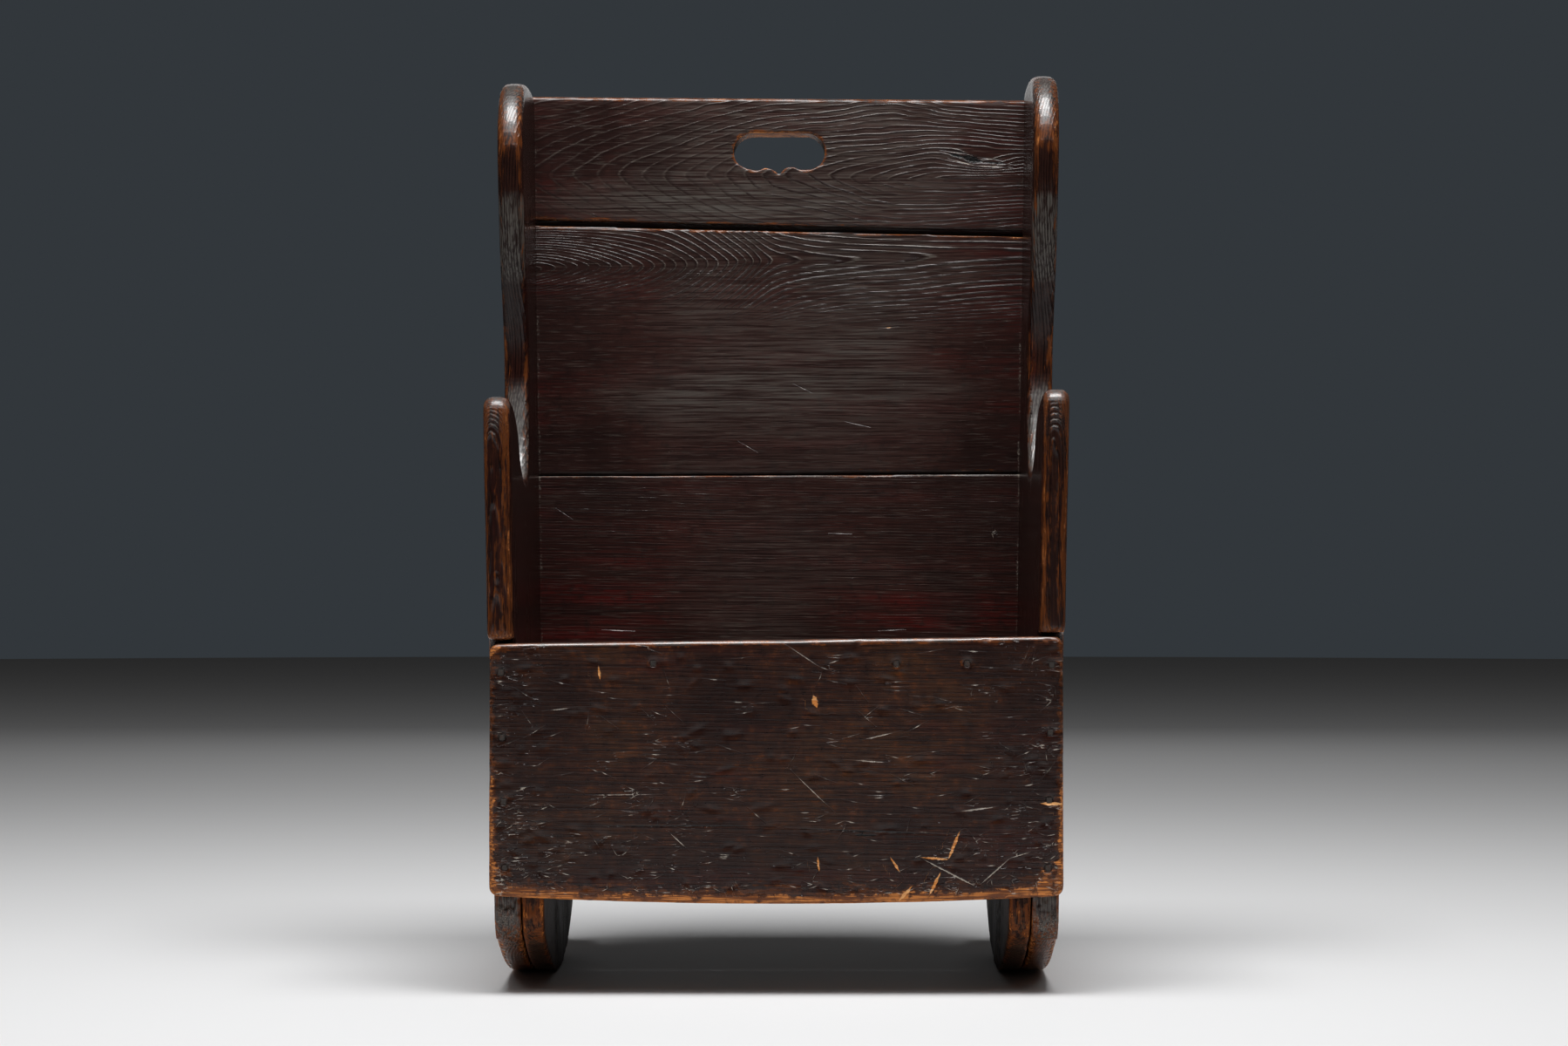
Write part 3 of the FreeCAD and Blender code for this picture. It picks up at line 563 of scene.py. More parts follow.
class Bench:
    """Lays shader nodes in one tree; a call gives the socket that the next one reads."""

    def __init__(self, tree):
        self.tree = tree

    def place(self, kind, inputs=(), **options):
        node = self.tree.nodes.new(kind)
        for name, value in options.items():
            setattr(node, name, value)
        for key, value in dict(inputs).items():
            self.feed(node.inputs[key], value)
        return node

    def feed(self, socket, value):
        if isinstance(value, bpy.types.NodeSocket):
            self.tree.links.new(value, socket)
        else:
            socket.default_value = value

    def math(self, operation, *values, clamp=False):
        node = self.place("ShaderNodeMath", enumerate(values), operation=operation, use_clamp=clamp)
        return node.outputs[0]

    def add(self, *values):
        total = values[0]
        for value in values[1:]:
            total = self.math("ADD", total, value)
        return total

    def times(self, *values):
        total = values[0]
        for value in values[1:]:
            total = self.math("MULTIPLY", total, value)
        return total

    def off_middle(self, noise, strength):
        """A noise as a shift about 0."""
        return self.times(self.math("SUBTRACT", noise, 0.5), strength)

    def vector(self, operation, *values):
        return self.place("ShaderNodeVectorMath", enumerate(values), operation=operation).outputs[0]

    def noise(self, place, detail=2.0, roughness=0.5):
        inputs = {"Vector": place, "Scale": 1.0, "Detail": detail, "Roughness": roughness}
        return self.place("ShaderNodeTexNoise", inputs).outputs[0]

    def even(self, place, scale, detail=2.0, roughness=0.5):
        """Noise that is alike every way."""
        return self.noise(self.vector("MULTIPLY", place, (scale, scale, scale)), detail, roughness)

    def drawn(self, place, stretch, share, least, detail=2.0, roughness=0.5):
        """Noise that is drawn out along the grain, by a share of the fibres' stretch."""
        scale = self.vector("MULTIPLY_ADD", stretch, (share, share, share), (least, least, least))
        return self.noise(self.vector("MULTIPLY", place, scale), detail, roughness)

    def step(self, value, low, high, start=0.0, end=1.0):
        inputs = {"Value": value, "From Min": low, "From Max": high, "To Min": start, "To Max": end}
        return self.place("ShaderNodeMapRange", inputs, interpolation_type="SMOOTHSTEP").outputs[0]

    def peak(self, value, start, top):
        """0 before start, 1 at the top, 0 again at 1, eased between."""
        return self.times(self.step(value, start, top), self.step(value, top, 1.0, 1.0, 0.0))

    def mix(self, share, first, second):
        inputs = {0: share, 6: opaque(first), 7: opaque(second)}
        return self.place("ShaderNodeMix", inputs, data_type="RGBA").outputs[2]

    def attribute(self, name):
        return self.place("ShaderNodeAttribute", attribute_name=name).outputs["Fac"]

    def here(self):
        return self.place("ShaderNodeTexCoord").outputs["Object"]

    def group(self, tree, **inputs):
        named = {key.replace("_", " ").capitalize(): value for key, value in inputs.items()}
        return self.place("ShaderNodeGroup", named, node_tree=tree).outputs


def opaque(value):
    """A colour property as a shader colour; a socket is passed on."""
    return value if isinstance(value, bpy.types.NodeSocket) else (*value, 1.0)


def blank(name):
    """A new material, a bench for its nodes and its surface shader."""
    material = bpy.data.materials.new(name)
    material.use_nodes = True
    return material, Bench(material.node_tree), material.node_tree.nodes["Principled BSDF"]


def node_group(name, inputs, outputs, lay):
    """A shader group, built once: lay gives its outputs in order from its inputs."""
    if name in bpy.data.node_groups:
        return bpy.data.node_groups[name]
    tree = bpy.data.node_groups.new(name, "ShaderNodeTree")
    for label, kind in inputs.items():
        tree.interface.new_socket(label, in_out="INPUT", socket_type="NodeSocket" + kind)
    for label in outputs:
        tree.interface.new_socket(label, in_out="OUTPUT", socket_type="NodeSocketFloat")
    bench = Bench(tree)
    entry = bench.place("NodeGroupInput").outputs
    leave = bench.place("NodeGroupOutput")
    for label, value in zip(outputs, lay(bench, entry)):
        bench.feed(leave.inputs[label], value)
    return tree


def growth_rings():
    """Hard grain and its pale lips from a board's ring count, with fibres and pores along it."""
    def lay(bench, given):
        place, stretch = given["Place"], given["Stretch"]
        fibre = bench.noise(bench.vector("MULTIPLY", place, stretch), 3.0, 0.6)
        waver = bench.drawn(place, stretch, 0.27, 27.0, 3.0)
        pores = bench.drawn(place, stretch, 1.3, 46.0, 1.0)
        count = bench.add(given["Rings"], bench.off_middle(fibre, 0.25))
        part = bench.math("FRACT", count)
        late = bench.peak(part, HARD_START, HARD_PEAK)
        lip = bench.peak(part, LIP_START, LIP_PEAK)
        year = bench.place("ShaderNodeTexWhiteNoise", {"W": bench.math("FLOOR", count)},
                           noise_dimensions="1D").outputs[0]
        bold = bench.add(bench.times(year, 0.4), 0.6)
        strength = bench.times(bold, bench.step(waver, 0.36, 0.56, 0.4, 1.0))
        return bench.times(late, strength), bench.times(lip, strength), fibre, bench.step(pores, 0.58, 0.72)
    inputs = {"Rings": "Float", "Place": "Vector", "Stretch": "Vector"}
    return node_group("Growth rings", inputs, ("Hard", "Lip", "Fibre", "Pore"), lay)


def worn_edges():
    """Where hands and knocks have rubbed the stain thin, and where they have taken it off."""
    def lay(bench, given):
        place, stretch = given["Place"], given["Stretch"]
        patch = bench.even(place, 130.0, 4.0, 0.7)
        streak = bench.drawn(place, stretch, 0.54, 39.0, 3.0, 0.65)
        uneven = bench.add(bench.off_middle(patch, given["Patchy"]), bench.off_middle(streak, 1.8))
        rubbed = bench.times(given["Edge"], given["Reach"])
        level = bench.add(rubbed, bench.times(uneven, bench.step(rubbed, 0.02, 0.3, 0.15, 1.0)))
        return bench.step(level, 0.3, 0.6), bench.step(level, 0.78, 1.05)
    inputs = {"Edge": "Float", "Reach": "Float", "Patchy": "Float", "Place": "Vector", "Stretch": "Vector"}
    return node_group("Worn edges", inputs, ("Thin", "Bare"), lay)


def knocks():
    """Small dents along the grain, pits, and fine scratches across it."""
    def lay(bench, given):
        place, stretch = given["Place"], given["Stretch"]
        crowd = bench.times(bench.step(bench.even(place, 22.0), 0.35, 0.68), given["Amount"])
        dents = bench.add(bench.drawn(place, stretch, 0.38, 106.0), bench.times(crowd, 0.1))
        pits = bench.add(bench.even(place, 420.0, 1.0), bench.times(crowd, 0.05))
        deepest = bench.math("MAXIMUM", bench.step(dents, 0.67, 0.78), bench.step(pits, 0.74, 0.8))
        dent = bench.times(deepest, bench.step(crowd, 0.02, 0.25))
        scratch = 0.0
        for turn, shift in ((0.3, 0.0), (-0.75, 3.1), (1.25, 7.7)):
            turned = bench.place("ShaderNodeMapping", {
                "Vector": place, "Location": (shift, shift, shift),
                "Rotation": (0.0, turn, 0.4 * turn), "Scale": (34.0, 1000.0, 1000.0)}).outputs[0]
            scratch = bench.math("MAXIMUM", scratch, bench.step(bench.noise(turned, 1.0), 0.70, 0.76))
        return dent, bench.times(scratch, crowd)
    inputs = {"Place": "Vector", "Stretch": "Vector", "Amount": "Float"}
    return node_group("Knocks", inputs, ("Dent", "Scratch"), lay)


def settled_dust():
    """Dust and old wax, in specks, where a cloth doesn't reach."""
    def lay(bench, given):
        specks = bench.even(given["Place"], 900.0, 2.0, 0.7)
        patch = bench.even(given["Place"], 60.0)
        level = bench.add(given["Hollow"], bench.off_middle(specks, 1.6), bench.off_middle(patch, 0.8))
        return (bench.step(level, 0.55, 0.95),)
    inputs = {"Hollow": "Float", "Place": "Vector"}
    return node_group("Settled dust", inputs, ("Dust",), lay)


def scored_line():
    """A mark along a line that the skin stores: its distance and its width, both in mm."""
    def lay(bench, given):
        ragged = bench.even(given["Place"], 420.0, 3.0, 0.65)
        width = bench.times(given["Width"], bench.add(bench.times(ragged, 2.4), -0.2))
        inside = bench.math("SUBTRACT", width, bench.math("ABSOLUTE", given["Across"]))
        return bench.step(inside, 0.0, 0.3), bench.step(inside, -0.5, 0.9)
    inputs = {"Across": "Float", "Width": "Float", "Place": "Vector"}
    return node_group("Scored line", inputs, ("Mark", "Depth"), lay)


WAX_ROUGHNESS = 0.42
WAX_IOR = 1.8
WOOD_BUMP = 0.5 * MM
IRON_BUMP = 0.3 * MM


@dataclass
class WoodLook:
    """What sets one board's finish apart from another's."""

    stretch: tuple
    stain: tuple
    reach: float = 1.0
    patchy: float = 1.4
    relief: float = 0.7
    gloss: float = 0.10
    sheen: float = 0.4
    red: float = 0.3
    gold: float = 0.0
    lip: float = 0.0
    dashes: float = 0.0


def read_board(bench, look):
    """What the wood reads: the board's stored values, the shared effects, and noises of its own."""
    place, stretch = bench.here(), look.stretch
    figure = bench.attribute("figure")
    grain = bench.group(growth_rings(), rings=bench.attribute("rings"), place=place, stretch=stretch)
    edges = bench.group(worn_edges(), edge=bench.attribute("edge"), reach=look.reach, patchy=look.patchy,
                        place=place, stretch=stretch)
    lines = {kind: bench.group(scored_line(), across=bench.attribute(kind + "_across"),
                               width=bench.attribute(kind + "_width"), place=place) for kind in MARK_KINDS}
    return SimpleNamespace(
        figure=figure, grain=grain, edges=edges, hard=bench.times(grain["Hard"], figure), **lines,
        marks=bench.group(knocks(), place=place, stretch=stretch, amount=bench.attribute("knocked")),
        dust=bench.group(settled_dust(), hollow=bench.attribute("hollow"), place=place)["Dust"],
        tone=bench.attribute("tone"),
        reddened=bench.attribute("reddened"),
        polish=bench.attribute("polish"),
        cloud=bench.even(place, 11.0, 4.0, 0.6),
        mottle=bench.even(place, 130.0, 4.0, 0.7),
        band=bench.drawn(place, stretch, 0.053, 3.9, 3.0, 0.6),
        streak=bench.drawn(place, stretch, 1.2, 8.0, 2.0, 0.6),
    )


def stained(bench, board, look, colours):
    """The colour of stain, old wax, painted sheen and grain before anything has rubbed it."""
    dark = colours.stain_hard
    fibre = board.grain["Fibre"]
    red = bench.add(bench.times(bench.step(board.band, 0.45, 0.7), look.red),
                    bench.times(bench.step(board.band, 0.35, 0.65), board.reddened))
    tint = bench.mix(red, look.stain, colours.stain_red)
    tint = bench.mix(bench.times(bench.step(board.cloud, 0.48, 0.68), look.gold), tint, colours.gold)
    tint = bench.mix(bench.step(board.mottle, 0.52, 0.72, 0.0, look.gold), tint, colours.worn)
    tint = bench.mix(bench.step(board.mottle, 0.5, 0.32, 0.0, 0.7), tint, dark)
    tint = bench.mix(bench.step(board.cloud, 0.52, 0.3, 0.0, 0.8), tint, dark)
    # Positive tone paints grey: old wax and dry wood, and also painted sheen, painted highlights and a
    # painted reflection of the floor
    grey = bench.math("MAXIMUM", board.tone, 0.0)
    tint = bench.mix(bench.times(grey, bench.step(board.streak, 0.42, 0.66, 0.45, 1.8)), tint, colours.bloom_and_painted_sheen)
    tint = bench.mix(bench.math("MULTIPLY", board.hard, 2.2, clamp=True), tint, dark)
    tint = bench.mix(bench.step(fibre, 0.52, 0.28, 0.0, 0.85), tint, dark)
    tint = bench.mix(bench.times(board.grain["Lip"], board.figure, look.lip), tint, colours.dust)
    return bench.mix(bench.step(board.streak, 0.52, 0.36, 0.0, 0.8), tint, dark)


def worn_through(bench, board, look, tint, colours):
    """The stained colour after rubbing, painted shade, knocks, scratches and dust."""
    dark = colours.stain_hard
    edges, marks = board.edges, board.marks
    fibre = board.grain["Fibre"]
    rubbed = bench.mix(bench.step(fibre, 0.55, 0.35, 0.0, 0.8), colours.worn, colours.stain)
    tint = bench.mix(edges["Thin"], tint, rubbed)
    # Negative tone paints dark: painted shade at the back's ends and on the sides' inner faces, and darker
    # stretches of wood elsewhere
    tint = bench.mix(bench.math("MAXIMUM", bench.times(board.tone, -1.0), 0.0), tint, dark)
    tint = bench.mix(bench.times(board.grain["Pore"], look.dashes), tint, colours.dust)
    tint = bench.mix(bench.times(marks["Dent"], 0.6), tint, dark)
    opened = bench.mix(bench.step(board.streak, 0.62, 0.42), colours.bare, colours.worn)
    opened = bench.mix(bench.step(board.mottle, 0.54, 0.38, 0.0, 0.85), opened, colours.worn)
    opened = bench.mix(bench.step(board.mottle, 0.44, 0.3, 0.0, 0.8), opened, dark)
    tint = bench.mix(edges["Bare"], tint, opened)
    tint = bench.mix(bench.step(board.bared["Depth"], 0.35, 0.9, 0.0, 0.8), tint, colours.worn)
    chipped = bench.mix(bench.step(board.streak, 0.58, 0.46), colours.chip, colours.bare)
    tint = bench.mix(board.bared["Mark"], tint, chipped)
    tint = bench.mix(bench.times(marks["Scratch"], 0.35), tint, colours.worn)
    # Scored marks show pale wood, with a painted glint along them
    tint = bench.mix(bench.times(board.scored["Mark"], 0.5), tint, colours.scratch)
    tint = bench.mix(board.cracked["Mark"], tint, colours.crack)
    return bench.mix(board.dust, tint, colours.dust)


def wood(name, look, colours):
    """Stained and waxed softwood that follows the piece's own rings, corners and hollows."""
    material, bench, surface = blank(name)
    board = read_board(bench, look)
    grain, edges, marks = board.grain, board.edges, board.marks
    tint = worn_through(bench, board, look, stained(bench, board, look, colours), colours)
    rough = bench.add(look.gloss, bench.times(board.cloud, 0.14), bench.times(grain["Fibre"], 0.14),
                      bench.times(edges["Bare"], 0.35), bench.times(board.dust, 0.3),
                      bench.times(edges["Thin"], -0.08))
    height = bench.add(bench.times(board.hard, look.relief), bench.times(grain["Fibre"], 0.07),
                       bench.times(grain["Pore"], -0.06), bench.times(marks["Dent"], -0.8),
                       bench.times(marks["Scratch"], -0.35), bench.times(edges["Bare"], -0.3),
                       bench.times(board.bared["Depth"], -0.8), bench.times(board.scored["Depth"], -1.2),
                       bench.times(board.cracked["Depth"], -0.9))
    bump = bench.place("ShaderNodeBump", {"Height": height, "Distance": WOOD_BUMP, "Strength": 1.0})
    bench.feed(surface.inputs["Base Color"], tint)
    bench.feed(surface.inputs["Roughness"], rough)
    bench.feed(surface.inputs["Coat Weight"], board.polish)
    bench.feed(surface.inputs["Normal"], bump.outputs[0])
    surface.inputs["Specular IOR Level"].default_value = look.sheen
    surface.inputs["Coat Roughness"].default_value = WAX_ROUGHNESS
    surface.inputs["Coat IOR"].default_value = WAX_IOR
    return material


def nail_iron(colours):
    """Old iron, darkened and a little rusty."""
    material, bench, surface = blank("Old nail iron")
    rust = bench.even(bench.here(), 700.0, 4.0, 0.65)
    tint = bench.mix(bench.step(rust, 0.48, 0.7), colours.iron, colours.rust)
    bump = bench.place("ShaderNodeBump", {"Height": rust, "Distance": IRON_BUMP})
    bench.feed(surface.inputs["Base Color"], tint)
    bench.feed(surface.inputs["Roughness"], bench.step(rust, 0.3, 0.7, 0.42, 0.85))
    bench.feed(surface.inputs["Metallic"], bench.step(rust, 0.65, 0.45, 0.1, 0.7))
    bench.feed(surface.inputs["Normal"], bump.outputs[0])
    return material


# Back: three boards, with marks in mm as keep_marks takes them

KNOT_CRACKS = (((139.0, 651.5), (151.0, 648.5), 1.3), ((150.0, 648.8), (166.0, 645.0), 2.6),
               ((167.0, 644.5), (186.0, 643.0), 0.9))
KNOT_LIPS = (((143.0, 646.5), (160.0, 641.8), 0.4), ((160.0, 641.8), (184.0, 640.5), 0.4),
             ((139.0, 653.5), (152.0, 651.5), 0.3), ((168.0, 648.0), (178.0, 646.5), 0.3))
MIDDLE_BARED = (((87.5, 508.0), (90.5, 508.3), 0.4),)
MIDDLE_SCORED = (((60.0, 430.0), (66.5, 428.5), 0.25), ((17.5, 459.5), (20.5, 458.0), 0.3),
                 ((-27.0, 412.0), (-23.5, 410.0), 0.25))
LOWER_SCORED = (((172.5, 340.8), (173.5, 337.3), 0.35), ((174.5, 343.5), (175.5, 342.0), 0.3),
                ((-136.0, 262.5), (-124.0, 262.0), 0.3), ((-174.8, 357.2), (-173.0, 356.0), 0.3),
                ((47.0, 340.5), (52.0, 340.3), 0.2), ((88.0, 262.3), (95.0, 262.6), 0.25))

HOLE_X = -4 * MM
HOLE_Z = 649 * MM
HOLE_HALF_WIDTH = 44 * MM
HOLE_BOTTOM = 17 * MM
HOLE_LIFT = ((0.0, -1.0 * MM), (3 * MM, -0.6 * MM), (8 * MM, 0.6 * MM), (13 * MM, 1.0 * MM),
             (24 * MM, 1.7 * MM), (32 * MM, 1.0 * MM), (40 * MM, 0.0))
HOLE_SPARED = mm(48, 24)
KNOT_HOLLOW = mm(157, 646.5)
KNOT_HOLLOW_REACH = mm(15, 3.5)
KNOT_HOLLOW_DEPTH = 1.2 * MM
KNOT_RED = mm(152, 648)
KNOT_RED_REACH = mm(18, 12)
JOINT_WIDTH = 1.4 * MM
LEAST_FIGURE = 0.14


def shape_hole(skin):
    """Lifts the lower edge of the hand hole into two shallow curves that meet in a point."""
    x, _, z = skin.co.T
    low = fall(np.abs(z - HOLE_Z + HOLE_BOTTOM), 5 * MM, 16 * MM)
    skin.co[:, 2] += eased_line(np.abs(x - HOLE_X), HOLE_LIFT, 2 * MM) * low
    skin.smooth(hump(x, HOLE_X, HOLE_HALF_WIDTH) * low, 3)
    skin.settle()


def hole_rub(skin):
    """Hands have rubbed the top of the hand hole, and shoulders the top edge of the back."""
    x, _, z = skin.co.T
    in_hole = skin.facing(DOWNWARD, 0.35, 0.8) * hump(x, HOLE_X, HOLE_HALF_WIDTH) * (z > HOLE_Z)
    return 1.6 * in_hole + 0.25 * ramp(z, 0.693, 0.699)


class BackBoard:
    """What the boards of the back share; each board below says what sets it apart."""

    node = ""
    rings = None
    skin = "board_skin"
    figured = (0.0, 0.0)
    figure = 0.0
    # How strong the grey painted sheen is in the middle of the board
    grey = 0.0
    marks = {}

    def shape(self, skin):
        """Cuts that come before the grain is raised."""

    def hollow_out(self, skin):
        """Cuts that come after the grain is raised."""

    def corner_share(self, z):
        """How much of its wear each corner shows: little along the lower edge."""
        return 0.25 + 0.75 * ramp(z, z.min() + 4 * MM, z.min() + 8 * MM)

    def figure_at(self, x, z):
        """How plainly the grain shows: only faintly below the figured heights."""
        return LEAST_FIGURE + (self.figure - LEAST_FIGURE) * ramp(z, *self.figured)

    def dust_at(self, skin, corner):
        """Dust along the sides, and a little of it low down."""
        x, _, z = skin.co.T
        return 0.45 * hump(np.abs(x), side_face(z), JOINT_WIDTH) + 0.16 * fall(z, 0.5, 0.56)

    def redness_at(self, x, z):
        """Red stain in both lower corners and at the ends."""
        corners = hump(x, -140 * MM, 50 * MM) + 0.6 * hump(x, 130 * MM, 60 * MM)
        return 1.7 * fall(z, 0.28, 0.34) * corners + 0.4 * ramp(np.abs(x), 0.16, 0.2)

    def tone_at(self, skin):
        """A grey painted sheen in the middle of the back, and painted shade at the ends, near the sides."""
        aside = np.abs(skin.co[:, 0] - 15 * MM) + 30 * MM * ripple(skin.co, 70 * MM, 91)
        return self.grey - (self.grey + 0.25) * ramp(aside, 0.04, 0.22)


class TopBoard(BackBoard):
    """The board with the hand hole and the knot."""

    node = "back_top_board"
    rings = staticmethod(top_board_rings)
    skin = "top_skin"
    figured = (0.5, 0.55)
    figure = 0.68
    grey = 0.36
    marks = {"cracked": KNOT_CRACKS, "scored": KNOT_LIPS}

    def shape(self, skin):
        shape_hole(skin)

    def hollow_out(self, skin):
        x, _, z = skin.co.T
        knot = spot(x, z, KNOT_HOLLOW, KNOT_HOLLOW_REACH)
        skin.push(-KNOT_HOLLOW_DEPTH * knot * skin.looks_forward(0.5))

    def figure_at(self, x, z):
        return super().figure_at(x, z) * (0.6 + 0.4 * ramp(x, -0.1, 0.1))

    def redness_at(self, x, z):
        return super().redness_at(x, z) + spot(x, z, KNOT_RED, KNOT_RED_REACH)

    def tone_at(self, skin):
        x, _, z = skin.co.T
        # A painted sheen low on the left half of the board
        return super().tone_at(skin) + 0.4 * hump(z, 610 * MM, 16 * MM) * fall(x, -0.05, 0.12)


class SeamedBoard(BackBoard):
    """A board with another above it: its upper edge gathers dust, and its tone is cloudy."""

    def dust_at(self, skin, corner):
        z = skin.co[:, 2]
        seam = (z > z.max() - 9 * MM) * ramp(corner, 0.1, 0.4) * skin.looks_forward(0.4)
        return super().dust_at(skin, corner) + 0.4 * seam

    def tone_at(self, skin):
        return super().tone_at(skin) + 0.22 * ripple(skin.co, mm(80, 30, 35), 97)


class MiddleBoard(SeamedBoard):
    """The board with waves in its upper third."""

    node = "back_middle_board"
    rings = staticmethod(middle_board_rings)
    figured = (0.515, 0.56)
    figure = 1.05
    grey = 0.22
    marks = {"bared": MIDDLE_BARED, "scored": MIDDLE_SCORED}

    def figure_at(self, x, z):
        rise = z + 18 * MM * ramp(x, -0.13, 0.03)
        return super().figure_at(x, rise) * (0.65 + 0.35 * ramp(x, -0.14, 0.0))

    def tone_at(self, skin):
        x, _, z = skin.co.T
        # A painted sheen across the middle of the board
        return super().tone_at(skin) + 0.16 * hump(z, 460 * MM, 50 * MM) * fall(np.abs(x), 0.1, 0.18)


class LowerBoard(SeamedBoard):
    """The plain board behind the seat."""

    node = "back_lower_board"
    rings = staticmethod(lower_board_rings)
    figured = (0.2, 0.21)
    figure = 0.22
    grey = 0.1
    marks = {"scored": LOWER_SCORED}

    def corner_share(self, z):
        return super().corner_share(z) * (1.0 - 0.6 * ramp(z, z.max() - 8 * MM, z.max() - 4 * MM))


class CHAIR_OT_back_boards(bpy.types.Operator):
    """Three boards of the back, with arched grain, a knot and a worn hand hole"""

    bl_idname = "chair.back_boards"
    bl_label = "Back boards"

    def execute(self, context):
        sizes, colours = settings(context)
        look = WoodLook(FINE_ALONG_X, colours.stain, reach=0.8, gloss=0.17, sheen=0.38, red=0.26, lip=0.55,
                        dashes=0.14)
        material = wood("Back board wood", look, colours)
        for number, board in enumerate((TopBoard(), MiddleBoard(), LowerBoard())):
            skin_size = getattr(sizes, board.skin)
            piece = aged_copy(board.node, skin_size, sizes.softening)
            self.dress_board(Skin(piece), board, skin_size, sizes, BACK_SEED + NEXT_SEED * number)
            finish_piece(piece, board.node, material)
        return {"FINISHED"}

    def dress_board(self, skin, board, skin_size, sizes, seed):
        x, _, z = skin.co.T
        rings = board.rings(skin.co)
        near_hole = spot(x, z, (HOLE_X, HOLE_Z), HOLE_SPARED)
        corner = age(skin, skin_size, sizes, DRAWN_ALONG_X, seed, 0.35 * (1.0 - near_hole) ** 2)
        board.shape(skin)
        corner = corner * board.corner_share(z)
        figure = board.figure_at(x, z)
        ridges(skin, rings, 0.55 * figure * sizes.ridge_depth)
        dust = board.dust_at(skin, corner)
        redness = board.redness_at(x, z)
        for kind, marks in board.marks.items():
            keep_marks(skin, kind, marks)
        board.hollow_out(skin)
        # Rear faces get lighter rubbed colour: painted light, in place of the little lamp light that reaches
        # them
        rear = skin.facing(BACKWARD, 0.3, 0.8)
        dress(skin, rings, corner + hole_rub(skin) + 0.27 * rear, dust, figure * (1.0 - 0.5 * rear),
              knocked=0.03, reddened=redness, tone=board.tone_at(skin))


# Seat

class CHAIR_OT_seat_boards(bpy.types.Operator):
    """Two boards of the seat, rubbed brown along their edges"""

    bl_idname = "chair.seat_boards"
    bl_label = "Seat boards"

    def execute(self, context):
        sizes, colours = settings(context)
        material = wood("Seat board wood", WoodLook(ALONG_X, colours.stain, reach=0.9), colours)
        for number, node in enumerate(("seat_front_board", "seat_rear_board")):
            piece = aged_copy(node, sizes.seat_skin, sizes.softening)
            skin = Skin(piece)
            rings = seat_board_rings(skin.co)
            seed = SEAT_SEED + NEXT_SEED * number
            corner = age(skin, sizes.seat_skin, sizes, DRAWN_ALONG_X, seed, 0.6)
            ridges(skin, rings, 0.5 * sizes.ridge_depth)
            dress(skin, rings, corner, figure=0.6, knocked=0.6)
            finish_piece(piece, node, material)
        return {"FINISHED"}


# Sides: stretches of height, as between, fall or ramp take them, and heights with a reach, as hump does

EAR = (0.49, 0.51, 0.61, 0.625)
EAR_ROUNDED = (0.49, 0.55)
EAR_EDGE = (0.5, 0.53)
# Where a highlight is painted on the crown of the ear
EAR_PAINTED_HIGHLIGHT = (0.685, 25 * MM)
EAR_HELD = (0.652, 16 * MM)
EAR_DARK = (0.627, 15 * MM)
# Where a grey painted reflection of the floor runs down the ear's front edge
EAR_PAINTED_REFLECTION = (0.532, 0.55, 0.594, 0.61)
EAR_FOOT = (0.515, 13 * MM)
# Where a highlight is painted on the scoop
SCOOP = (0.415, 35 * MM)
SCOOP_SWEEP = ((0.365, 0.0), (0.385, -5 * MM), (0.4, -9 * MM), (0.42, -10 * MM), (0.44, -4 * MM),
               (0.46, 3 * MM), (0.48, 6 * MM), (0.5, 6 * MM), (0.53, 2 * MM), (0.55, 0.0))
SCOOP_DEPTHS = (-0.12, -0.09, 0.015, 0.06)
ARM = (0.25, 0.28, 0.44, 0.46)
ARM_ROUNDED = (0.25, 0.3)
ARM_RUBBED = (0.33, 60 * MM)
ARM_BAND = (0.341, 40 * MM)
ARM_BAND_X = (-209.7 * MM, 2.2 * MM)
ARM_BAND_DEPTH = 0.5 * MM
ARM_FRONT = -100 * MM
ROCKER_PITTED = (0.06, 0.085)
ROCKER_GREY = (0.06, 0.1)
ROCKER_RUBBED = (0.03, 0.09)
SIDES = (("left_side", -1, -212.5 * MM), ("right_side", 1, 201.5 * MM))


def round_front(skin):
    """Hands have rounded the front edges of the ears, and less so of the arms."""
    _, y, z = skin.co.T
    front = ramp(-skin.spread(skin.normal, 6)[:, 1], 0.08, 0.4)
    arm = 0.5 * ramp(z, *ARM_ROUNDED) * (y < ARM_FRONT - 20 * MM)
    skin.smooth(front * (arm + ramp(z, *EAR_ROUNDED)), 11)
    skin.settle()


def ease_scoop(skin):
    """Eases the scoop between ear and arm into a longer sweep, which catches light over more of it."""
    _, y, z = skin.co.T
    skin.co[:, 1] += eased_line(z, SCOOP_SWEEP, 8 * MM) * between(y, *SCOOP_DEPTHS)
    skin.settle()


def arm_band(skin):
    """A long sunken band of dark, unworn wood on the front edge of the left arm."""
    x, y, z = skin.co.T
    return hump(x, *ARM_BAND_X) * hump(z, *ARM_BAND) * skin.facing(FORWARD, 0.4, 0.8) * (y < ARM_FRONT)


def side_rub(skin):
    """Hands have rubbed the ears where they are held and the arms, and the floor the rockers."""
    _, y, z = skin.co.T
    front = skin.facing(FORWARD, 0.3, 0.8)
    held = 0.28 * front * hump(z, *EAR_HELD)
    arm = 0.13 * front * hump(z, *ARM_RUBBED) * (y < ARM_FRONT)
    return held + 0.4 * fall(z, *ROCKER_RUBBED) + arm


def side_tone(skin, corner, inward):
    """A grey painted reflection of the floor down the middle of the ears' front edges, darker bands above
    and below it, painted shade on the inner faces, and a dry, grey rocker.
    """
    z = skin.co[:, 2]
    front = skin.facing(FORWARD, 0.2, 0.6)
    grey = between(z, *EAR_PAINTED_REFLECTION) * fall(corner, 0.3, 0.8)
    ear = 1.5 * grey - 0.55 * hump(z, *EAR_DARK) - 0.6 * hump(z, *EAR_FOOT)
    # Inner faces are painted darker, as painted shade
    inner = -0.45 * skin.facing(inward, 0.5, 0.9)
    rocker = (0.15 + 1.2 * front) * fall(z, *ROCKER_GREY)
    return front * ear + inner * (1.0 - front) + rocker


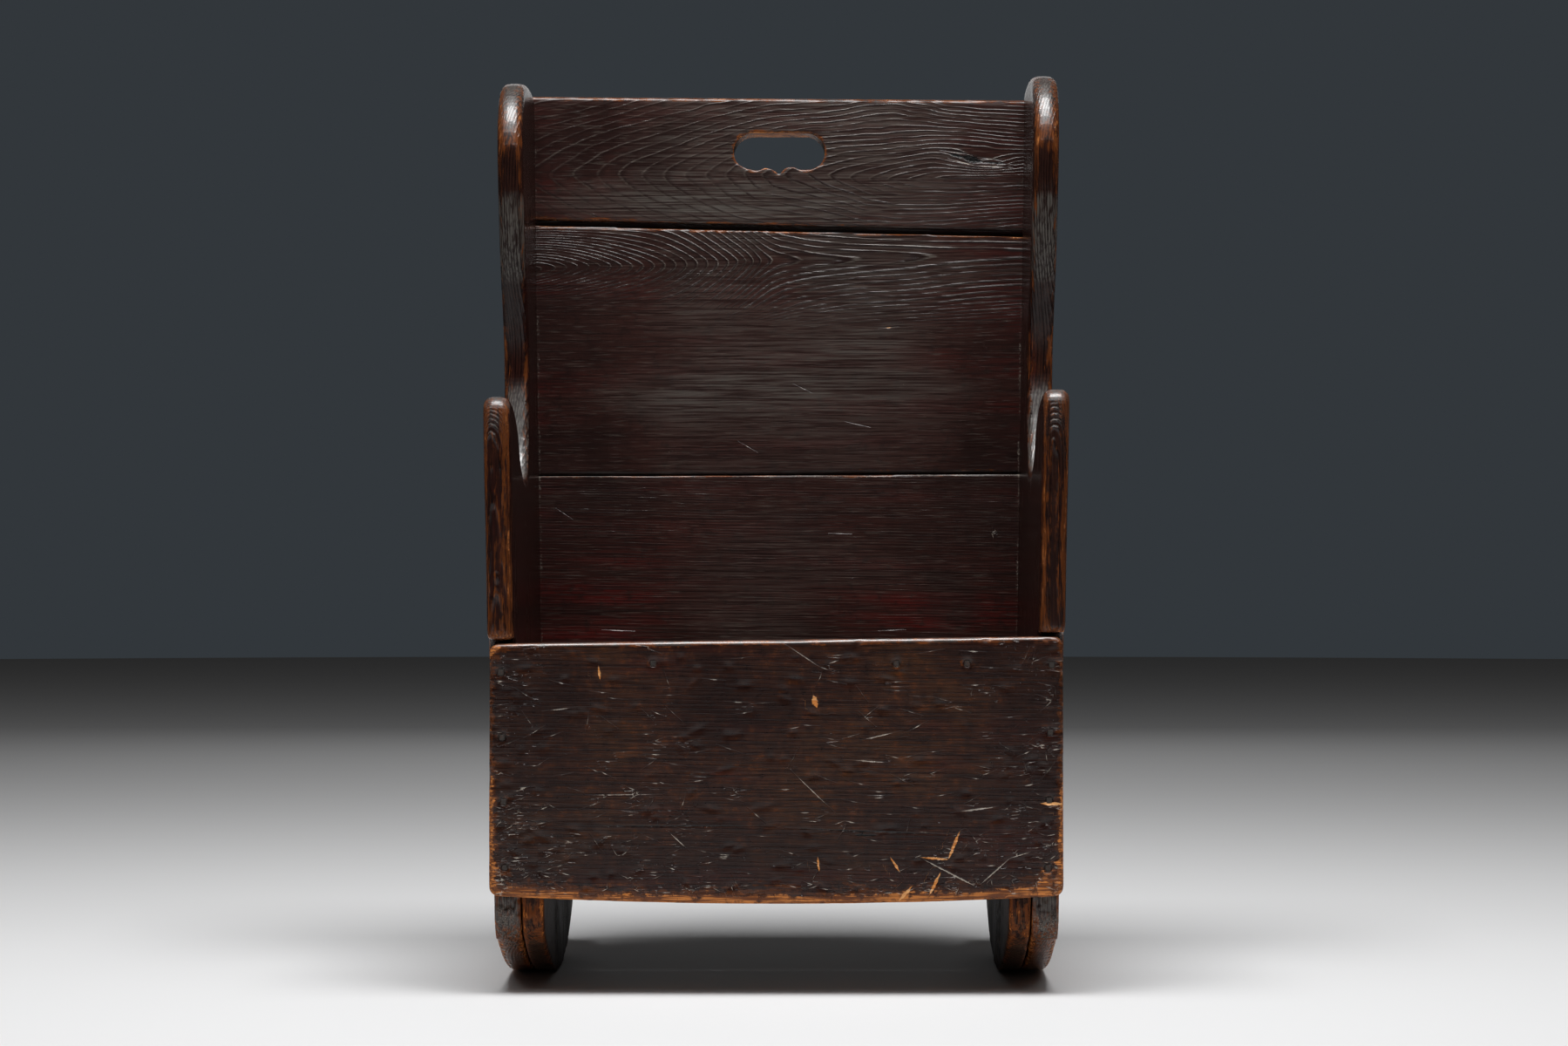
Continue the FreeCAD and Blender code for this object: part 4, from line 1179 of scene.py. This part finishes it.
class CHAIR_OT_sides(bpy.types.Operator):
    """Two sides with ears, arms and rockers, their corners rubbed orange"""

    bl_idname = "chair.sides"
    bl_label = "Sides"

    def execute(self, context):
        sizes, colours = settings(context)
        look = WoodLook(ALONG_Z, colours.side_stain, patchy=0.5, relief=1.4, sheen=0.26, red=0.45, gold=0.1)
        material = wood("Side wood", look, colours)
        for node, side, heart in SIDES:
            piece = aged_copy(node, sizes.side_skin, sizes.side_softening)
            skin = Skin(piece)
            seed = SIDE_SEED + NEXT_SEED * side
            skin.keep("edge", age(skin, sizes.side_skin, sizes, DRAWN_ALONG_Z, seed, 0.7))
            round_front(skin)
            ease_scoop(skin)
            refine(piece, sizes.side_cuts)
            self.dress_side(Skin(piece), side, heart, sizes)
            finish_piece(piece, node, material)
        return {"FINISHED"}

    def dress_side(self, skin, side, heart, sizes):
        inward, outward = (-side, 0.0, 0.0), (side, 0.0, 0.0)
        _, y, z = skin.co.T
        corner = skin.take("edge")
        rings = side_rings(skin.co, side, heart)
        front = skin.facing(FORWARD, 0.3, 0.7)
        arm = front * between(z, *ARM) * (y < ARM_FRONT)
        rocker = front * fall(z, *ROCKER_PITTED)
        hard = ridges(skin, rings, sizes.ridge_depth * (0.5 * front + 2.2 * arm))
        band = arm_band(skin)
        skin.push(PIT_DEPTH * rocker * weathered(skin.co, 81) - ARM_BAND_DEPTH * band)

        inner_corner = front * skin.facing(inward, 0.45, 0.8) * np.maximum(arm, ramp(z, *EAR_EDGE))
        outside = np.maximum(skin.facing(outward, 0.5, 0.9), skin.facing(BACKWARD, 0.3, 0.8))
        worn = corner * (1.0 - 0.7 * between(z, *EAR)) + 0.22 * arm * hard - band
        edge = worn * (1.0 - 0.6 * rocker) + 0.3 * inner_corner + side_rub(skin)
        # Outer and rear faces get lighter rubbed colour: painted light, in place of the little lamp light
        # that reaches them
        edge = edge + 0.24 * outside - 0.1 * arm * (side > 0)
        # Faces that look up and forward get the wax coat, and a painted highlight on the scoop and on the
        # ear's crown
        shining = skin.facing(UPWARD, 0.08, 0.4) * skin.facing(FORWARD, 0.1, 0.4) * ramp(z, 0.2, 0.26)
        tone = side_tone(skin, corner, inward) - 0.9 * band + arm * (0.9 * hard - 0.2)
        tone = tone + shining * (2.4 * hump(z, *SCOOP) + 0.9 * hump(z, *EAR_PAINTED_HIGHLIGHT))
        figure = 0.38 + 0.3 * front + 0.32 * arm - 0.5 * rocker
        dress(skin, rings, edge, 0.52 * rocker, figure, knocked=0.45 * (1.0 - front), tone=tone,
              polish=shining * (1.0 - 0.25 * ramp(z, 0.6, 0.64)))


# Front board, with marks in mm as keep_marks takes them

FRONT_BARED = (
    ((27.5, 219.0), (29.5, 212.0), 2.0), ((-130.0, 241.0), (-129.0, 232.0), 0.9),
    ((134.5, 121.0), (126.0, 100.0), 1.2), ((126.0, 100.0), (106.0, 101.5), 0.9),
    ((84.0, 101.0), (90.0, 91.5), 1.0), ((99.0, 80.0), (90.0, 70.0), 1.2),
    ((120.0, 90.0), (112.0, 74.0), 1.2), ((30.5, 101.0), (31.5, 92.0), 0.9),
    ((194.0, 141.0), (210.0, 140.5), 1.3),
)
FRONT_SCORED = (
    ((-165.0, 209.0), (-152.5, 210.5), 0.4), ((-137.5, 147.0), (-89.5, 147.5), 0.35),
    ((-77.0, 118.5), (-66.5, 109.0), 0.45), ((134.0, 135.0), (161.0, 138.5), 0.6),
    ((65.5, 188.0), (85.0, 192.5), 0.45), ((56.5, 172.5), (80.0, 171.0), 0.5),
    ((106.0, 101.0), (148.5, 79.0), 0.6), ((186.0, 105.5), (171.0, 101.0), 0.45),
    ((171.0, 101.0), (148.5, 81.0), 0.5), ((13.0, 163.0), (39.0, 138.0), 0.35),
    ((9.0, 256.0), (31.5, 241.0), 0.35),
)
FRONT_CRACKS = (
    ((-148.0, 124.4), (6.0, 124.4), 0.55), ((0.0, 123.2), (139.0, 117.8), 0.5),
    ((56.5, 117.8), (72.0, 117.6), 1.0),
)
FRONT_STROKES = 380
STROKE_SEED = 11
STROKES_HALF_SPAN_MM = 205.0
STROKES_BOTTOM_MM = 74.0
STROKES_RISE_MM = 182.0
STROKE_LENGTHS_MM = (1.5, 6.0)
STROKE_HALF_WIDTHS_MM = (0.16, 0.42)
ALONG_GRAIN_SHARE = 0.8
FRONT_DENTS = 260
DENT_SEED = 7
DENT_LENGTHS_MM = (2.0, 6.0)
DENT_WIDTHS_MM = (1.4, 2.6)
DENT_DEPTHS_MM = (0.2, 0.75)
FRONT_HALF_WIDTH_MM = 210.0
FRONT_BOTTOM = 67 * MM
FRONT_BOW = 6 * MM


def towards_ends(chance):
    """A random share from -1 to 1 of a board's half width, mostly near its ends."""
    return math.sin(math.pi * (chance.random() - 0.5))


def strokes(count, seed):
    """Short scratches on the front board in mm, thick near its ends and its bottom, most along the grain."""
    chance = np.random.default_rng(seed)
    for _ in range(count):
        x = STROKES_HALF_SPAN_MM * towards_ends(chance)
        z = STROKES_BOTTOM_MM + STROKES_RISE_MM * chance.random() ** 1.9
        size = chance.uniform(*STROKE_LENGTHS_MM)
        along_grain = chance.random() < ALONG_GRAIN_SHARE
        turn = chance.normal(0.0, 0.25) if along_grain else chance.uniform(-1.5, 1.5)
        end = (x + size * math.cos(turn), z + size * math.sin(turn))
        yield (x, z), end, chance.uniform(*STROKE_HALF_WIDTHS_MM)


def dent_face(skin, count, seed):
    """Knocks shallow dents into a face that looks forward, most of them low down and towards its ends."""
    chance = np.random.default_rng(seed)
    low, high = skin.co.min(axis=0), skin.co.max(axis=0)
    depth = np.zeros(len(skin.co))
    facing = skin.looks_forward(0.7)
    for _ in range(count):
        x = low[0] + (high[0] - low[0]) * (0.5 + 0.5 * towards_ends(chance))
        z = low[2] + (high[2] - low[2]) * chance.random() ** 1.6
        long = chance.uniform(*DENT_LENGTHS_MM) * MM
        short = chance.uniform(*DENT_WIDTHS_MM) * MM
        turn = chance.normal(0.0, 0.35)
        across, up = skin.co[:, 0] - x, skin.co[:, 2] - z
        run = (across * math.cos(turn) + up * math.sin(turn)) / long
        rise = (up * math.cos(turn) - across * math.sin(turn)) / short
        depth += chance.uniform(*DENT_DEPTHS_MM) * MM * np.exp(-(run ** 2 + rise ** 2)) * facing
    skin.push(-depth)


def front_rub(co):
    """How far feet and floor have rubbed the front board: its bottom, both ends and two corners."""
    x, _, z = co.T
    lowest = FRONT_BOTTOM + (x / FRONT_HALF_WIDTH_MM / MM) ** 2 * FRONT_BOW
    bottom = (1.25 + 0.3 * ramp(x, -0.1, 0.0)) * np.exp(-np.maximum(z - lowest, 0.0) / (7.5 * MM))
    end = np.exp(-np.maximum(FRONT_HALF_WIDTH_MM * MM - np.abs(x), 0.0) / (5 * MM))
    ends = 0.8 * end * fall(z, 0.12, 0.19)
    top_left = 0.7 * spot(x, z, mm(-207, 257), mm(10, 9))
    low_right = 0.8 * spot(x, z, mm(204, 78), mm(18, 10))
    return bottom + ends + top_left + low_right


def front_dark(co):
    """How far the front board has darkened: along its bottom and at both ends, in uneven patches."""
    x, _, z = co.T
    ends = np.maximum(0.5 * ramp(-x, 0.12, 0.19), 0.6 * ramp(x, 0.11, 0.19))
    return np.maximum(0.7 * fall(z, 0.09, 0.15), ends) * (0.8 + 0.4 * ripple(co, mm(45, 30, 18), 95))


class CHAIR_OT_front_board(bpy.types.Operator):
    """Front board, knocked and scratched, worn to bare wood along its lower edge"""

    bl_idname = "chair.front_board"
    bl_label = "Front board"

    def execute(self, context):
        sizes, colours = settings(context)
        look = WoodLook(ALONG_X, colours.front_stain, reach=1.2, patchy=2.0, relief=0.3, gloss=0.12,
                        sheen=0.3, red=0.45, gold=0.6)
        material = wood("Front board wood", look, colours)
        piece = aged_copy("front_board", sizes.board_skin, sizes.softening)
        skin = Skin(piece)
        rings = front_board_rings(skin.co)
        corner = age(skin, sizes.board_skin, sizes, DRAWN_ALONG_X, FRONT_SEED, 1.2)
        edge = corner + front_rub(skin.co)
        dent_face(skin, FRONT_DENTS, DENT_SEED)
        x, _, z = skin.co.T
        knocked = np.clip(0.12 + 0.5 * fall(z, 0.09, 0.15) + 0.3 * ramp(np.abs(x), 0.1, 0.2), 0.0, 1.0)
        shining = skin.facing(UPWARD, 0.15, 0.5) * skin.facing(FORWARD, 0.1, 0.4) * ramp(z, 0.24, 0.25)
        # Along the top edge a painted highlight, in the grey of tone, goes with the wax coat
        tone = 1.6 * shining - front_dark(skin.co) * (1.0 - shining)
        dress(skin, rings, edge, 0.05, 0.28, knocked, tone=tone, polish=0.9 * shining)
        scored = FRONT_SCORED + tuple(strokes(FRONT_STROKES, STROKE_SEED))
        for kind, marks in zip(MARK_KINDS, (FRONT_BARED, scored, FRONT_CRACKS)):
            keep_marks(skin, kind, marks)
        finish_piece(piece, "front_board", material)
        return {"FINISHED"}


# Rocker cheeks and nails

class CHAIR_OT_rocker_cheeks(bpy.types.Operator):
    """Inner layers of the two rockers"""

    bl_idname = "chair.rocker_cheeks"
    bl_label = "Rocker cheeks"

    def execute(self, context):
        sizes, colours = settings(context)
        look = WoodLook(ALONG_Z, colours.cheek_stain, reach=1.1, relief=0.6, gloss=0.45, sheen=0.1, red=0.1)
        material = wood("Rocker cheek wood", look, colours)
        for node, side in (("left_rocker_cheek", -1), ("right_rocker_cheek", 1)):
            piece = aged_copy(node, sizes.cheek_skin, sizes.softening)
            skin = Skin(piece)
            rings = cheek_rings(skin.co, side)
            seed = CHEEK_SEED + NEXT_SEED * side
            corner = age(skin, sizes.cheek_skin, sizes, DRAWN_ON_CHEEK, seed, 1.2)
            front = skin.facing(FORWARD, 0.2, 0.6)
            inner = skin.facing((-side, 0.0, 0.0), 0.5, 0.9)
            hard = ridges(skin, rings, 1.5 * sizes.ridge_depth * inner)
            skin.push(PIT_DEPTH * front * weathered(skin.co, 85))
            dress(skin, rings, 0.6 * corner + 0.35 * front, 0.2 * front, knocked=0.8,
                  tone=inner * (1.7 * hard - 0.8))
            finish_piece(piece, node, material)
        return {"FINISHED"}


class CHAIR_OT_nails(bpy.types.Operator):
    """Iron for the nails, which keep their shape from the frame"""

    bl_idname = "chair.nails"
    bl_label = "Nails"

    def execute(self, context):
        colours = settings(context)[1]
        material = nail_iron(colours)
        for node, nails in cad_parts.items():
            if "nails" in node:
                nails.data.materials.clear()
                nails.data.materials.append(material)
        return {"FINISHED"}


# Stage

CHAIR_MIDDLE = (0.0, 0.0, 0.35)


def floor_material(colours):
    """Plain, pale and matt."""
    material, _, surface = blank("Studio floor")
    surface.inputs["Base Color"].default_value = opaque(colours.floor)
    surface.inputs["Roughness"].default_value = 0.7
    surface.inputs["Specular IOR Level"].default_value = 0.1
    return material


def studio_world(stage, colours):
    """Faint even light from all round, with a plain backdrop for the camera alone."""
    world = bpy.data.worlds.new("Studio")
    world.use_nodes = True
    bench = Bench(world.node_tree)
    room = world.node_tree.nodes["Background"]
    room.inputs["Color"].default_value = (1.0, 1.0, 1.0, 1.0)
    room.inputs["Strength"].default_value = stage.room_light
    seen = bench.place("ShaderNodeBackground", {"Color": opaque(colours.backdrop)})
    path = bench.place("ShaderNodeLightPath").outputs["Is Camera Ray"]
    both = bench.place("ShaderNodeMixShader", {0: path, 1: room.outputs[0], 2: seen.outputs[0]})
    bench.feed(world.node_tree.nodes["World Output"].inputs["Surface"], both.outputs[0])
    return world


def look_at(thing, place, aim):
    """Turns a lamp or the camera, which stands at a place, towards a point."""
    thing.rotation_euler = (Vector(aim) - Vector(place)).to_track_quat("-Z", "Y").to_euler()


def lamp(name, place, aim, size, watts):
    """A soft lamp that looks at a point."""
    bpy.ops.object.light_add(type="AREA", location=place)
    light = bpy.context.object
    light.name = name
    look_at(light, place, aim)
    light.data.shape = "RECTANGLE"
    light.data.size, light.data.size_y = size
    light.data.energy = watts
    light.visible_camera = False


class CHAIR_OT_stage(bpy.types.Operator):
    """Pale floor, soft lamps and the camera"""

    bl_idname = "chair.stage"
    bl_label = "Stage"

    def execute(self, context):
        scene = context.scene
        stage, colours = scene.chair_stage, scene.chair_colours
        scene.view_settings.view_transform = "Standard"
        bpy.ops.object.select_all(action="DESELECT")
        bpy.ops.mesh.primitive_circle_add(vertices=96, radius=stage.floor_radius, fill_type="NGON")
        floor = context.object
        floor.name = "studio_floor"
        floor.data.materials.append(floor_material(colours))

        lamp("Overhead lamp", (0.0, -0.55, 2.6), (0.0, -0.2, 0.0), (1.6, 1.0), stage.key_power)
        lamp("Front left lamp", (-1.4, -1.3, 2.9), CHAIR_MIDDLE, (1.6, 1.2), stage.fill_power)
        lamp("Front right lamp", (1.4, -1.3, 2.9), CHAIR_MIDDLE, (1.6, 1.2), stage.fill_power)
        lamp("Rear lamp", (0.0, 3.6, 1.7), CHAIR_MIDDLE, (2.0, 1.2), stage.rear_power)
        scene.world = studio_world(stage, colours)

        lens = (stage.camera_x, FRONT_FACE - stage.camera_distance, stage.camera_height)
        bpy.ops.object.camera_add(location=lens)
        camera = context.object
        look_at(camera, lens, (stage.aim_x, 0.0, stage.aim_height))
        camera.data.lens = stage.focal_length
        scene.camera = camera
        return {"FINISHED"}


# Sidebar and registration

OPERATORS = (CHAIR_OT_back_boards, CHAIR_OT_seat_boards, CHAIR_OT_sides, CHAIR_OT_front_board,
             CHAIR_OT_rocker_cheeks, CHAIR_OT_nails, CHAIR_OT_stage)


class CHAIR_PT_sidebar(bpy.types.Panel):
    """Lists the chair's pieces and their sizes and colours"""

    bl_label = "Rocking chair"
    bl_idname = "CHAIR_PT_sidebar"
    bl_space_type = "VIEW_3D"
    bl_region_type = "UI"
    bl_category = "Chair"

    def draw(self, context):
        for operator in OPERATORS:
            self.layout.operator(operator.bl_idname)
        for group in (context.scene.chair_sizes, context.scene.chair_colours, context.scene.chair_stage):
            for name in group.__annotations__:
                self.layout.prop(group, name)


CLASSES = (ChairSizes, ChairColours, ChairStage, *OPERATORS, CHAIR_PT_sidebar)


def register():
    for made in CLASSES:
        bpy.utils.register_class(made)
    bpy.types.Scene.chair_sizes = PointerProperty(type=ChairSizes)
    bpy.types.Scene.chair_colours = PointerProperty(type=ChairColours)
    bpy.types.Scene.chair_stage = PointerProperty(type=ChairStage)


def unregister():
    del bpy.types.Scene.chair_stage
    del bpy.types.Scene.chair_colours
    del bpy.types.Scene.chair_sizes
    for made in reversed(CLASSES):
        bpy.utils.unregister_class(made)


def main():
    register()
    bpy.ops.chair.back_boards()
    bpy.ops.chair.seat_boards()
    bpy.ops.chair.sides()
    bpy.ops.chair.front_board()
    bpy.ops.chair.rocker_cheeks()
    bpy.ops.chair.nails()
    bpy.ops.chair.stage()


if __name__ == "__main__":
    main()
